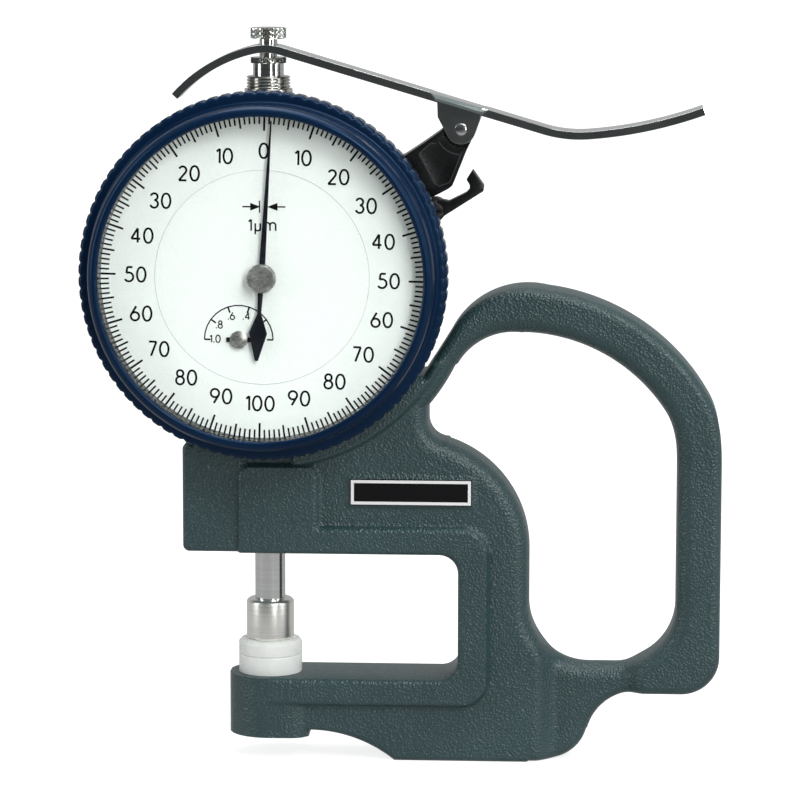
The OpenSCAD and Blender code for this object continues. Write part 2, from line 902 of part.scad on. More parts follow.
// Lever bracket: a moulded foot on the case with a tongue that carries the pivot pin
module bracket_outline() {
    polygon([
        polar(centre_c, case_r - 1, bracket_angle + 9), polar(centre_c, 28, 40.2), pivot + [-5.4, -1.9],
        pivot + [-3.3, -0.4], pivot + [-1.6, 1.2], pivot + [2, -0.6],
        pivot + [1.5, -2], pivot + [0.8, -3.4],
        pivot + [-1.3, -8.7], pivot + [-1.9, -9.2], polar(centre_c, 27.9, 24.4),
        polar(centre_c, case_r - 1, bracket_angle - 9)
    ]);
}

module lever_bracket() {
    panel_y = 0.5;
    color("#1d1f22")
        place()
            difference() {
                union() {
                    slab(bracket_y) bracket_outline();
                    bar(pivot, -tongue_y, tongue_y, 2.1);
                }
                bar(centre_c, -bracket_y - 1, bracket_y + 1, case_r + press);
                for (face = [0, 1])
                    mirror([0, face, 0]) {
                        bar(pivot, tongue_y, bracket_y + 1, ear_r + 0.5);
                        layer(tongue_y, bracket_y + 1) span(pivot + [-3.4, 0], pivot + [6, 8]);
                    }
                layer(bracket_y - panel_y, bracket_y + 1) bracket_panel();
                bar(pivot, -bracket_y - 1, bracket_y + 1, pin_d / 2 + fit);
                bracket_screw_places() cylinder(h = 6, r = bracket_screw_r + press);
            }
}

// The sunk panel on the bracket's face, inside a raised border
module bracket_panel() {
    difference() {
        polygon([
            pivot + [-4.6, -2.1], pivot + [-6.5, -3.8], pivot + [-4.1, -8.3], pivot + [-3.3, -8.8],
            pivot + [-1.7, -8.2], pivot + [0.2, -3.4]
        ]);
        disc(pivot, 3.9);
    }
}

// Places of the two screws that hold the bracket, along the case's radius and behind its ledge
module bracket_screw_places() {
    screw_y = 0.6;
    for (side = [-4, 4])
        translate([0, screw_y, dial_z])
            rotate([0, 90 - bracket_angle - side, 0]) translate([0, 0, case_in - 0.6]) children();
}

bracket_screw_r = 0.6;
module bracket_screws() {
    head_r = 1.1;
    head_h = 0.6;
    flat_gap = 0.03;
    color("#8d9095")
        place()
            bracket_screw_places() {
                cylinder(h = head_h - flat_gap, r = head_r);
                cylinder(h = case_wall + 3.4, r = bracket_screw_r);
            }
}

// Guide block: a slot for the guide pin, fixed to the back of the base plate
guide_half = 5;
guide_screw_z = [guide_z - 3.8, guide_z + 4];
module guide_block() {
    color("#9a9da2")
        place()
            difference() {
                translate([guide_x - guide_w, -base_back, guide_z - guide_half])
                    cube([guide_w, base_back + 2.2, 2 * guide_half]);
                translate([guide_x - guide_w - 1, -guide_pin_r - fit, guide_z - guide_pin_r - gap])
                    cube([guide_w + 2, 2 * (guide_pin_r + fit), 2 * (guide_pin_r + gap) + travel]);
                for (z = guide_screw_z)
                    bar([guide_x - guide_w / 2, z], base_back - 2, base_back + 1, plate_screw_r + press);
            }
}

module guide_screws() {
    color("#5b6a86")
        place()
            for (z = guide_screw_z) {
                bar([guide_x - guide_w / 2, z], base_front, base_front + 0.5, plate_screw_head_r - 0.3);
                bar([guide_x - guide_w / 2, z], base_back - 1.9, base_front + eps, plate_screw_r);
            }
}

// Return spring: a coil between the guide pin and its post
spring_steps = 12;
spring_sides = 6;
module return_spring() {
    low = post_z + post_r + fit;
    rings = spring_turns * spring_steps;
    points = [
        for (k = [0 : rings])
            for (s = [0 : spring_sides - 1])
                let (
                    a = 360 * k / spring_steps,
                    w = 360 * s / spring_sides,
                    r = spring_r + spring_wire * cos(w)
                )
                    [
                        r * cos(a), r * sin(a),
                        spring_wire * (1 + sin(w)) + (spring_l - 2 * spring_wire) * k / rings
                    ]
    ];
    walls = [
        for (k = [0 : rings - 1])
            for (s = [0 : spring_sides - 1])
                let (
                    n = (s + 1) % spring_sides,
                    near = k * spring_sides,
                    far = near + spring_sides
                )
                    each [[near + s, far + s, far + n], [near + s, far + n, near + n]]
    ];
    ends = [
        [for (s = [0 : spring_sides - 1]) s],
        [for (s = [spring_sides - 1 : -1 : 0]) rings * spring_sides + s]
    ];
    color("#8b8f96")
        place()
            translate([spring_x, 0, low]) polyhedron(points, concat(walls, ends));
}

// Spring post: the pin on the base plate that holds the spring's lower end
module spring_post() {
    color("#a9acb0")
        place()
            bar([spring_x, post_z], -spring_r - 0.5, base_back, post_r);
}

// Hairspring: a flat spiral from the counter arbor to its stud
hair_in = 1.25;
hair_out = 4.6;
hair_turns = 5;
module hairspring() {
    strip = 0.12;
    steps = 24;
    count = hair_turns * steps;
    function spiral(k, off) = (hair_in + (hair_out - hair_in) * k / count + off)
        * [cos(360 * k / steps), sin(360 * k / steps)];
    color("#6c7fa3")
        place()
            layer(spring_level, spring_level + 0.4)
                translate(counter_c)
                    polygon(concat(
                        [for (k = [0 : count]) spiral(k, strip / 2)],
                        [for (k = [count : -1 : 0]) spiral(k, -strip / 2)]
                    ));
}

// Hairspring stud: holds the spiral's outer end
module hairspring_stud() {
    color("#a9acb0")
        place()
            bar(counter_c + [hair_out + 0.7, 0], base_front, spring_level + 0.6, 0.6);
}

// Rack bridge: carries the rack arbor's rear pivot behind the spindle
bridge_back = -3.8;
bridge_posts = [[4, 3.6], [4, -3.6]];
bridge_post_r = 1.3;
module rack_bridge() {
    color("#b8a064")
        place()
            difference() {
                union() {
                    layer(bridge_back, bridge_back + plate_t)
                        round_span(rack_c + [-2, -5.2], rack_c + [5.6, 5.2], 1.6);
                    for (p = bridge_posts)
                        bar(rack_c + p, bridge_back + plate_t - eps, base_back, bridge_post_r);
                }
                bar(rack_c, bridge_back - 1, bridge_back + plate_t + 1, jewel_r + press);
                for (p = bridge_posts)
                    bar(rack_c + p, bridge_back - 1, bridge_back + 4, bridge_screw_r + press);
            }
}

bridge_screw_r = 0.6;
module bridge_screws() {
    color("#5b6a86")
        place()
            for (p = bridge_posts)
                back_screw(rack_c + p, bridge_back, bridge_screw_r, 3, 1.1, 0.5);
}

// Rack pinion: the arbor that the spindle drives
module rack_pinion() {
    color("#b9bcc1")
        place() {
            layer(-1.6, 1.6) translate(rack_c) pinion_wheel(rack_teeth, rack_m, 0);
            bar(rack_c, bridge_back + plate_t + gap / 2, -1.6 + eps, arbor_r);
            bar(rack_c, 1.6 - eps, front_back - gap / 2, arbor_r);
            bar(rack_c, bridge_back, bridge_back + plate_t + gap, pivot_r);
            bar(rack_c, front_back - gap, front_front, pivot_r);
        }
}

// A wheel with spokes on its arbor
module spoked_wheel(at, level, teeth, m, turn) {
    rim = m * teeth / 2 - 1.25 * m - 1;
    layer(level - wheel_t / 2, level + wheel_t / 2)
        translate(at) {
            difference() {
                gear_wheel(teeth, m, turn);
                circle(r = rim);
            }
            difference() {
                union() {
                    circle(r = arbor_r + 1.4);
                    for (a = [0, 120, 240])
                        rotate(a) translate([0, -0.5]) square([rim + 0.3, 1]);
                }
                circle(r = arbor_r + press);
            }
        }
}

module rack_gear() {
    color("#c8a951")
        place()
            spoked_wheel(rack_c, rack_level, rack_gear_teeth, rack_gear_m, heading(rack_c, inter_c));
}

// Intermediate pinion: an arbor between the plates
module intermediate_pinion() {
    turn = heading(inter_c, rack_c) + 180 / inter_teeth;
    color("#b9bcc1")
        place() {
            layer(rack_level - pinion_l / 2, rack_level + pinion_l / 2)
                translate(inter_c) pinion_wheel(inter_teeth, rack_gear_m, turn);
            bar(inter_c, base_front + gap / 2, front_back - gap / 2, arbor_r);
            bar(inter_c, base_back, base_front + gap, pivot_r);
            bar(inter_c, front_back - gap, front_front, pivot_r);
        }
}

module intermediate_gear() {
    color("#c8a951")
        place()
            spoked_wheel(inter_c, drive_level, inter_gear_teeth, inter_gear_m, heading(inter_c, centre_c));
}

// Centre arbor: carries the main hand and both of its pinions
hub_back = dial_front + 0.5;
hub_front = dial_front + 2;
hub_r = 2.25;
module centre_arbor() {
    drive_turn = heading(centre_c, inter_c) + 180 / centre_teeth;
    color("#b9bcc1")
        place() {
            layer(drive_level - pinion_l / 2, drive_level + pinion_l / 2)
                translate(centre_c) pinion_wheel(centre_teeth, inter_gear_m, drive_turn);
            layer(counter_level - pinion_l / 2, counter_level + pinion_l / 2)
                translate(centre_c) pinion_wheel(counter_teeth, counter_m, heading(centre_c, counter_c));
            bar(centre_c, base_front + gap / 2, hub_front - 0.3, journal_r);
            bar(centre_c, base_back, base_front + gap, pivot_r);
        }
}

// Counter arbor and gear
module counter_arbor() {
    color("#b9bcc1")
        place() {
            bar(counter_c, spring_level - 0.3, spring_level + 0.7, hair_in - 0.35);
            bar(counter_c, base_front + gap / 2, dial_front + 0.25, journal_r);
            bar(counter_c, base_back, base_front + gap, pivot_r);
        }
}

module counter_gear() {
    turn = heading(counter_c, centre_c) + 180 / counter_gear_teeth;
    color("#c8a951")
        place()
            spoked_wheel(counter_c, counter_level, counter_gear_teeth, counter_m, turn);
}

// Counter hand: a small hub with a short pointer, at zero to the right
module counter_hand() {
    hub = 1.35;
    reach = 3.9;
    tail = 1.9;
    color("#14161c")
        place() {
            difference() {
                bar(counter_c, dial_front + 0.1, dial_front + 0.55, hub);
                bar(counter_c, dial_front, dial_front + 0.25 + press, journal_r + press);
            }
            layer(dial_front + 0.2, dial_front + 0.4)
                translate(counter_c)
                    difference() {
                        polygon([
                            [-tail, 0.35], [-tail, -0.35], [hub, -0.4],
                            [reach, -0.1], [reach, 0.1], [hub, 0.4]
                        ]);
                        circle(r = hub - eps);
                    }
        }
}

// Main hand: a slim blade with a spade tail
hand_level = dial_front + 0.75;
hand_t = 0.2;
neck_r = 0.9;
hand_angle = 3.7;
module main_hand() {
    root = 0.5;
    tip = 0.1;
    eye = 1.6;
    spade_at = 8.5;
    spade = 1.4;
    color("#12141a")
        place()
            difference() {
                union() {
                    bar(centre_c, hand_level, hand_level + hand_t, eye);
                    layer(hand_level, hand_level + hand_t)
                        translate(centre_c)
                            rotate(-hand_angle)
                                polygon([
                                    [-root, 0], [-tip, hand_l], [tip, hand_l], [root, 0],
                                    [0.3, -spade_at + 3],
                                    [spade, -spade_at], [0.25, -hand_tail], [-0.25, -hand_tail],
                                    [-spade, -spade_at], [-0.3, -spade_at + 3]
                                ]);
                }
                bar(centre_c, hand_level - 1, hand_level + 1, neck_r + press);
            }
}

// Hand hub: the turned boss that grips the arbor; the hand is riveted on its neck
module hand_hub() {
    head = hand_level + hand_t;
    color("#a7aab0")
        place()
            turned(centre_c)
                polygon([
                    [journal_r + press, hub_back], [neck_r, hub_back], [neck_r, head], [hub_r, head],
                    [hub_r, hub_front - 0.3], [hub_r - 0.3, hub_front], [0, hub_front],
                    [0, hub_front - 0.3 + press], [journal_r + press, hub_front - 0.3 + press]
                ]);
}

// Bezel: a knurled ring that turns on the case and carries crystal and graduated ring
bezel_r = bezel_d / 2;
bezel_in = case_r - 0.55;
crystal_front = 16.2;
crystal_t = 1;
module bezel_ring() {
    knurls = 90;
    knurl_r = 0.8;
    knurl_at = bezel_r + 0.5;
    ring_r = case_r + 1;
    color("#22304e")
        place()
            difference() {
                turned(centre_c)
                    polygon([
                        [case_r + fit, bezel_back], [bezel_r - 0.4, bezel_back],
                        [bezel_r, bezel_back + 0.4],
                        [bezel_r, 11.6], [bezel_r - 0.4, 12], [ring_r + 0.1, 12], [ring_r - 0.2, 12.4],
                        [ring_r - 0.4, 15.8], [ring_r - 0.8, 16.7], [ring_r - 1.4, 17],
                        [lip_r + 0.25, 16.9],
                        [lip_r, 16.6], [lip_r, crystal_front], [bezel_in, crystal_front],
                        [bezel_in, case_front + gap / 4], [case_r + fit, case_front + gap / 4]
                    ]);
                for (k = [0 : knurls - 1])
                    bar(polar(centre_c, knurl_at, 360 / knurls * k), bezel_back - 1, 13, knurl_r);
            }
}

// Crystal: the clear window
module crystal() {
    color("#dfe8ee", 0.3)
        place()
            turned(centre_c)
                polygon([
                    [0, crystal_front - crystal_t], [bezel_in - press, crystal_front - crystal_t],
                    [bezel_in - press, crystal_front], [0, crystal_front]
                ]);
}

// Spacer: the black ring that holds the crystal off the dial
module crystal_spacer() {
    color("#16181b")
        place()
            turned(centre_c)
                polygon([
                    [lip_r - 0.05, dial_front], [bezel_in - press, dial_front],
                    [bezel_in - press, crystal_front - crystal_t], [lip_r + 0.1, crystal_front - crystal_t]
                ]);
}

// Dial ring: the graduated ring that turns with the bezel
module dial_ring() {
    color("#eff1ea")
        place()
            turned(centre_c)
                polygon([
                    [centre_d / 2 + fit, dial_front - dial_t], [bezel_in - press, dial_front - dial_t],
                    [bezel_in - press, dial_front], [centre_d / 2 + fit, dial_front]
                ]);
}

// Points along one side of a bent strip: a step of its path is a length, or a radius and a turn
function strip_side(path, off, i = 0, p = [0, 0], a = 0) =
    i == len(path) ? [] :
    let (step = path[i])
    len(step) == 1
        ? let (q = p + step[0] * [cos(a), sin(a)])
            concat([q + off * [-sin(a), cos(a)]], strip_side(path, off, i + 1, q, a))
        : let (
            r = sign(step[1]) * step[0],
            c = p + r * [-sin(a), cos(a)],
            n = ceil(abs(step[1]) / bend_step),
            end = a + step[1]
        )
        concat(
            [
                for (k = [1 : n])
                    let (h = a + step[1] * k / n)
                    c + (off - r) * [-sin(h), cos(h)]
            ],
            strip_side(path, off, i + 1, c - r * [-sin(end), cos(end)], end)
        );

function reversed(points) = [for (k = [len(points) - 1 : -1 : 0]) points[k]];

function mirrored(points) = [for (p = points) [-p[0], p[1]]];

// Lift lever: a bent strip with two ears on the pivot and a hole round the knob's neck
module lift_lever() {
    start = [lever_mid[0], 0, lever_mid[1]];
    thumb = [[41.5], [19.8, 21], [67, 15.5]];
    nose = [[0.8], [8.8, -30], [23.6, -34.5]];
    neck_hole_x = -0.15;
    neck_hole_r = neck_d / 2 + 0.45;
    color("#c5c8cc")
        place()
            difference() {
                union() {
                    translate(start)
                        rotate([0, lever_slope, 0])
                            slab(lever_w / 2)
                                polygon(concat(
                                    reversed(mirrored(strip_side(nose, lever_t / 2))),
                                    strip_side(thumb, lever_t / 2),
                                    reversed(strip_side(thumb, -lever_t / 2)),
                                    mirrored(strip_side(nose, -lever_t / 2))
                                ));
                    for (face = [0, 1])
                        mirror([0, face, 0])
                            lever_ear(lever_w / 2 - ear_t, lever_w / 2);
                }
                for (face = [0, 1])
                    mirror([0, face, 0])
                        bar(pivot, lever_w / 2 - ear_t - 1, lever_w / 2 + 1, pin_d / 2 + press);
                translate([neck_hole_x, 0, collar_z]) cylinder(h = 6, r = neck_hole_r);
            }
}

// Height of the strip's middle on the lever's straight stretch
function strip_z(x) = lever_mid[1] - (x - lever_mid[0]) * tan(lever_slope);

// An ear: its sides run from the strip down to the round end on the pin
module lever_ear(back, front) {
    left = pivot[0] - 3.7;
    right = pivot[0] + 3.1;
    sunk = 0.3;
    bar(pivot, back, front, ear_r);
    layer(back, front)
        polygon([
            pivot + [-ear_r * 0.9, -ear_r * 0.43], pivot + [-3.6, 1.9], [left, strip_z(left) - sunk],
            [right, strip_z(right) - sunk], pivot + [3, 1.6], pivot + [ear_r * 0.98, -ear_r * 0.2]
        ]);
}

// Lever pin: riveted in the ears, free in the bracket
module lever_pin() {
    color("#8a8d92")
        place()
            bar(pivot, -lever_w / 2 - 0.2, lever_w / 2 + 0.2, pin_d / 2);
}

// Bezel clamp: a hooked finger that turns on a shouldered screw and grips the bezel
module bezel_clamp() {
    color("#17191c")
        place()
            difference() {
                layer(clamp_front - clamp_t, clamp_front) {
                    disc(clamp_pivot, 1.65);
                    polygon([
                        clamp_pivot + [0.2, -1.9], clamp_pivot + [1.2, -0.9], clamp_pivot + [7.6, 3.2],
                        clamp_pivot + [7.7, 4], clamp_pivot + [5.95, 6.5], clamp_pivot + [5, 5],
                        clamp_pivot + [5.5, 4.2], clamp_pivot + [5.5, 3.5], clamp_pivot + [4.9, 2.9],
                        clamp_pivot + [2.3, 1.6], clamp_pivot + [0.6, 1.9]
                    ]);
                }
                bar(clamp_pivot, 0, clamp_front + 1, clamp_screw_r + fit);
            }
}

// Clamp screw: the pivot of the bezel clamp
module clamp_screw() {
    head_r = 1.5;
    color("#8d9095")
        place()
            difference() {
                union() {
                    bar(clamp_pivot, clamp_front + fit, clamp_front + 0.9, head_r);
                    bar(clamp_pivot, -0.8, clamp_front + fit + eps, clamp_screw_r);
                }
                translate([clamp_pivot[0], -clamp_front - 0.9, clamp_pivot[1]])
                    cube([2 * head_r + 1, 0.8, 0.4], center = true);
            }
}

frame_casting();
name_plate();
anvil();
indicator_case();
back_cover();
back_cover_screws();
stem();
stem_bush();
stem_set_screw();
upper_bush();
base_plate();
front_plate();
plate_pillars();
plate_screws();
jewel_bearings();
dial_centre();
lever_bracket();
bracket_screws();
guide_block();
guide_screws();
return_spring();
spring_post();
hairspring();
hairspring_stud();
rack_bridge();
bridge_screws();
clamp_screw();
spindle();
guide_pin();
contact_holder();
contact_tip();
lifting_knob();
lifting_collar();
centre_arbor();
main_hand();
hand_hub();
counter_arbor();
counter_gear();
counter_hand();
rack_pinion();
rack_gear();
intermediate_pinion();
intermediate_gear();
bezel_ring();
crystal();
crystal_spacer();
dial_ring();
lift_lever();
lever_pin();
bezel_clamp();
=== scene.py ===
import math

import bmesh
import bpy
from mathutils import Matrix, Vector


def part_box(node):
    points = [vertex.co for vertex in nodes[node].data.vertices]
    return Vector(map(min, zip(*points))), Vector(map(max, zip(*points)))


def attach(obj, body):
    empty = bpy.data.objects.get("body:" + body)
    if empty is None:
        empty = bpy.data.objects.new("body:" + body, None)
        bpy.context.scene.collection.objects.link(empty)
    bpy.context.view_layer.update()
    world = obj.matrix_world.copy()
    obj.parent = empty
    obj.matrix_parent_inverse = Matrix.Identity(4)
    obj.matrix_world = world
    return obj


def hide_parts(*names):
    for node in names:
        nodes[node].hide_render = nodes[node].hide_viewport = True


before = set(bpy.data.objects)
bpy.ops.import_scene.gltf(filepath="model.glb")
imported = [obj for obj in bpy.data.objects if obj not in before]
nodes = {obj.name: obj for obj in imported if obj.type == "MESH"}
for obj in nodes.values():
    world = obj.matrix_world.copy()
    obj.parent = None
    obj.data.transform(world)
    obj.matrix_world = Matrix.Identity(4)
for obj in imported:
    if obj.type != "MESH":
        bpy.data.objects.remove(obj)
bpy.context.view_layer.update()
scene = bpy.context.scene

# Studio: a pale sheet that curves up behind the gauge, soft panels of light round it,
# and a long lens at the height from which the dial is read.
MM = 0.001


def put(name, bm, sharp=35):
    mesh = bpy.data.meshes.new(name)
    bm.to_mesh(mesh)
    bm.free()
    mesh.shade_smooth()
    if sharp < 180:
        mesh.set_sharp_from_angle(angle=math.radians(sharp))
    piece = bpy.data.objects.new(name, mesh)
    scene.collection.objects.link(piece)
    return piece


def paint(name, color, metallic=0.0, roughness=0.5, coat=0.0):
    mat = bpy.data.materials.new(name)
    mat.use_nodes = True
    shader = mat.node_tree.nodes["Principled BSDF"]
    shader.inputs["Base Color"].default_value = (*color, 1)
    shader.inputs["Metallic"].default_value = metallic
    shader.inputs["Roughness"].default_value = roughness
    shader.inputs["Coat Weight"].default_value = coat
    mat.diffuse_color = (*color, 1)
    return mat


def tune(mat, socket, value):
    mat.node_tree.nodes["Principled BSDF"].inputs[socket].default_value = value


def grow(mat, kind, **settings):
    node = mat.node_tree.nodes.new(kind)
    for key, value in settings.items():
        if key in node.inputs:
            node.inputs[key].default_value = value
        else:
            setattr(node, key, value)
    return node


bm = bmesh.new()
edge = [bm.verts.new((-3, y, z)) for y, z in ((-2.2, 0), (0.55, 0))]
bm.edges.new(edge)
bend = bmesh.ops.spin(
    bm, geom=[edge[1]], cent=(0, 0.55, 0.5), axis=(1, 0, 0), angle=math.radians(90), steps=24,
)
last = [v for v in bend["geom_last"] if isinstance(v, bmesh.types.BMVert)][0]
rise = bmesh.ops.extrude_vert_indiv(bm, verts=[last])["verts"]
bmesh.ops.translate(bm, verts=rise, vec=(0, 0, 2))
sheet = bmesh.ops.extrude_edge_only(bm, edges=bm.edges[:])
bmesh.ops.translate(bm, verts=[v for v in sheet["geom"] if isinstance(v, bmesh.types.BMVert)], vec=(6, 0, 0))
bmesh.ops.recalc_face_normals(bm, faces=bm.faces)
floor = put("studio_sheet", bm, 180)
floor_paint = paint("studio_white", (0.4, 0.4, 0.4), roughness=0.9)
tune(floor_paint, "Emission Color", (1, 1, 1, 1))
glow = floor_paint.node_tree
shader = glow.nodes["Principled BSDF"]
# The sheet glows evenly white to the camera. To other rays its colour and glow are dark, except for a
# glowing band near the gauge that lights the gauge from below and shows in its reflections.
ray = grow(floor_paint, "ShaderNodeLightPath")
seen = grow(floor_paint, "ShaderNodeMapRange", **{"To Min": 0.02, "To Max": 0.82})
white = grow(floor_paint, "ShaderNodeMapRange", **{"To Min": 0.03, "To Max": 0.4})
place = grow(floor_paint, "ShaderNodeTexCoord")
split = grow(floor_paint, "ShaderNodeSeparateXYZ")
near = grow(floor_paint, "ShaderNodeMapRange", **{
    "From Min": -0.45, "From Max": -0.2, "To Min": 0.02, "To Max": 0.42,
})
brighter = grow(floor_paint, "ShaderNodeMath", operation="MAXIMUM")
for source, socket in (
    (ray.outputs["Is Camera Ray"], seen.inputs["Value"]),
    (ray.outputs["Is Camera Ray"], white.inputs["Value"]),
    (place.outputs["Object"], split.inputs[0]),
    (split.outputs["Y"], near.inputs["Value"]),
    (seen.outputs[0], brighter.inputs[0]),
    (near.outputs[0], brighter.inputs[1]),
    (brighter.outputs[0], shader.inputs["Emission Strength"]),
    (white.outputs[0], shader.inputs["Base Color"]),
):
    glow.links.new(source, socket)
floor.data.materials.append(floor_paint)
scene.view_settings.view_transform = "Standard"

world = bpy.data.worlds.new("studio_air")
scene.world = world
world.use_nodes = True
air = world.node_tree
sky = air.nodes.new("ShaderNodeTexCoord")
up = air.nodes.new("ShaderNodeSeparateXYZ")
shade = air.nodes.new("ShaderNodeMapRange")
air.links.new(sky.outputs["Generated"], up.inputs[0])
air.links.new(up.outputs["Z"], shade.inputs["Value"])
for socket, value in (("From Min", 0), ("From Max", 0.9), ("To Min", 0.05), ("To Max", 0.35)):
    shade.inputs[socket].default_value = value
air.links.new(shade.outputs[0], air.nodes["Background"].inputs["Strength"])
air.nodes["Background"].inputs["Color"].default_value = (0.86, 1, 1, 1)

AIM = Vector((0, 0, 0.06))


def panel(name, place, size, power):
    light = bpy.data.lights.new(name, "AREA")
    light.shape = "RECTANGLE"
    light.size, light.size_y = size
    light.energy = power
    lamp = bpy.data.objects.new(name, light)
    lamp.location = place
    lamp.rotation_euler = (AIM - Vector(place)).to_track_quat("-Z", "Y").to_euler()
    scene.collection.objects.link(lamp)


panel("key_panel", (0.45, -0.75, 0.75), (0.35, 0.35), 4.3)
panel("left_panel", (-0.75, -0.3, 0.2), (0.25, 0.9), 2.4)
panel("right_panel", (0.75, -0.35, 0.25), (0.2, 0.9), 2.0)
panel("front_panel", (0.4, -0.9, 0.25), (0.12, 0.5), 1.8)
panel("top_panel", (0.05, 0.05, 0.9), (0.9, 0.5), 5.5)

yaw, pitch, roll = -0.0551, 0.1462, 0.0013
forward = Vector((math.sin(yaw) * math.cos(pitch), math.cos(yaw) * math.cos(pitch), -math.sin(pitch)))
right = Vector((math.cos(yaw), -math.sin(yaw), 0))
above = right.cross(forward)
tilt, lean = math.cos(roll), math.sin(roll)
right, above = right * tilt + above * lean, above * tilt - right * lean
lens = bpy.data.cameras.new("reader")
lens.lens, lens.sensor_width = 174.05, 36
eye = bpy.data.objects.new("reader", lens)
eye.matrix_world = Matrix((
    (right.x, above.x, -forward.x, 0.0221594),
    (right.y, above.y, -forward.y, -0.6003696),
    (right.z, above.z, -forward.z, 0.1453021),
    (0, 0, 0, 1),
))
scene.collection.objects.link(eye)
scene.camera = eye


# Frame casting: one light-alloy casting, fettled smooth at its edges and sprayed with a thick
# grey paint that dries to a fine leather grain. The foot is ground flat.
def pattern(mat, kind="ShaderNodeTexNoise", stretch=(1, 1, 1), middle=(0, 0, 0), **settings):
    where = grow(mat, "ShaderNodeTexCoord")
    shift = grow(mat, "ShaderNodeMapping")
    shift.inputs["Scale"].default_value = stretch
    shift.inputs["Location"].default_value = [-m * s for m, s in zip(middle, stretch)]
    tex = grow(mat, kind, **settings)
    mat.node_tree.links.new(where.outputs["Object"], shift.inputs["Vector"])
    mat.node_tree.links.new(shift.outputs["Vector"], tex.inputs["Vector"])
    return tex


def feed(mat, source, socket):
    mat.node_tree.links.new(source, mat.node_tree.nodes["Principled BSDF"].inputs[socket])


def tint(mat, tex, stops):
    band = grow(mat, "ShaderNodeValToRGB")
    while len(band.color_ramp.elements) < len(stops):
        band.color_ramp.elements.new(0.5)
    for part, (at, color) in zip(band.color_ramp.elements, stops):
        part.position = at
        part.color = (*color, 1)
    mat.node_tree.links.new(tex.outputs["Fac"], band.inputs["Fac"])
    feed(mat, band.outputs["Color"], "Base Color")


def spread(mat, source, low, high, socket):
    span = grow(mat, "ShaderNodeMapRange", **{"To Min": low, "To Max": high})
    mat.node_tree.links.new(source, span.inputs["Value"])
    feed(mat, span.outputs[0], socket)


def rough_skin(mat, layers):
    normal = None
    for source, strength, depth in layers:
        bump = grow(mat, "ShaderNodeBump")
        bump.inputs["Strength"].default_value = strength
        bump.inputs["Distance"].default_value = depth
        mat.node_tree.links.new(source, bump.inputs["Height"])
        if normal:
            mat.node_tree.links.new(normal, bump.inputs["Normal"])
        normal = bump.outputs["Normal"]
    feed(mat, normal, "Normal")


def dress(piece, mat, body=None, slot=None, *stands_for):
    if piece.data.materials:
        piece.data.materials.clear()
    piece.data.materials.append(mat)
    if body:
        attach(piece, body)
    if stands_for:
        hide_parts(*stands_for)


def copied(node, merge=1e-6):
    bm = bmesh.new()
    bm.from_mesh(nodes[node].data)
    bmesh.ops.remove_doubles(bm, verts=bm.verts, dist=merge)
    return bm


grain_paint = paint("grain_paint", (0.042, 0.074, 0.08), roughness=0.36)
tune(grain_paint, "Specular IOR Level", 0.65)
pebble = pattern(grain_paint, "ShaderNodeTexVoronoi", Scale=2900, feature="SMOOTH_F1", Smoothness=0.6)
fine = pattern(grain_paint, Scale=2600, Detail=3, Roughness=0.55)
broad = pattern(grain_paint, Scale=90, Detail=3, Roughness=0.5)
tint(grain_paint, broad, [(0.3, (0.021, 0.052, 0.057)), (0.7, (0.030, 0.068, 0.073))])
spread(grain_paint, fine.outputs["Fac"], 0.28, 0.42, "Roughness")
rough_skin(grain_paint, [
    (pebble.outputs["Distance"], 0.65, 0.00022),
    (fine.outputs["Fac"], 0.35, 0.00012),
])

SPINDLE_X = -31.5
FLOOR, ROOF, DEPTH, COLUMN = 13.2, 33.2, 30, 41
PLATE, RIM, WEB = 5.55, 6.8, 3.3
DIAL = (-31.5, 77.4)
BULGE, BULGE_R, CUSP = (22.6, 33), 18.4, (28.4, 54)
GRIP, GRIP_R, GRIP_X, HANDLE_W = (39.5, 41), 27.1, 64.1, 6.9
BOSS_R, BOSS_Z = 6.45, 3.6
WEB_X0, WEB_X1 = 42, 59.3
CELL = 0.32
SCREW = (0, ROOF + 8)


def ball(x, z, c, r):
    return math.hypot(x - c[0], z - c[1]) - r


def block(x, z, low, high, r=0.0):
    px = abs(x - (low[0] + high[0]) / 2) - (high[0] - low[0]) / 2 + r
    pz = abs(z - (low[1] + high[1]) / 2) - (high[1] - low[1]) / 2 + r
    return math.hypot(max(px, 0), max(pz, 0)) + min(max(px, pz), 0) - r


def throat(x, z):
    return block(x, z, (-60, FLOOR), (DEPTH, ROOF), 3)


def crescent(x, z):
    return ball(x, z, (0, DIAL[1]), 32.8)


def blend(a, b, reach):
    near = max(reach - abs(a - b), 0) / reach
    return max(a, b) + near * near * reach / 4


def opening(x, z):
    clear = min(
        blend(ball(x, z, GRIP, GRIP_R), block(x, z, (38.5, 40), (GRIP_X, 77)), 2),
        ball(x, z, (38.5, 58), 10.1),
        block(x, z, (25.1, 54), (50.5, 63)),
        block(x, z, (COLUMN, 24.8), (GRIP_X, 44)),
        block(x, z, (CUSP[0], 41), (50, 54)),
        block(x, z, (34, ROOF), (50, 54)),
        block(x, z, (COLUMN, 15.3), (GRIP_X, 34.3), 9.5),
    )
    kept = min(crescent(x, z), ball(x, z, BULGE, BULGE_R), block(x, z, BULGE, CUSP))
    return min(max(clear, -kept), ball(x, z, CUSP, 3.3))


def web(x, z):
    foot = min(
        block(x, z, (30, 0), (50.4, 25), 6.5), block(x, z, (30, 0), (44, 20)),
        block(x, z, (36, 5), (61, 25)),
    )
    return max(foot, -ball(x, z, (58.2, 2.9), 8.1), -block(x, z, (58.2, -20), (66, 11)))


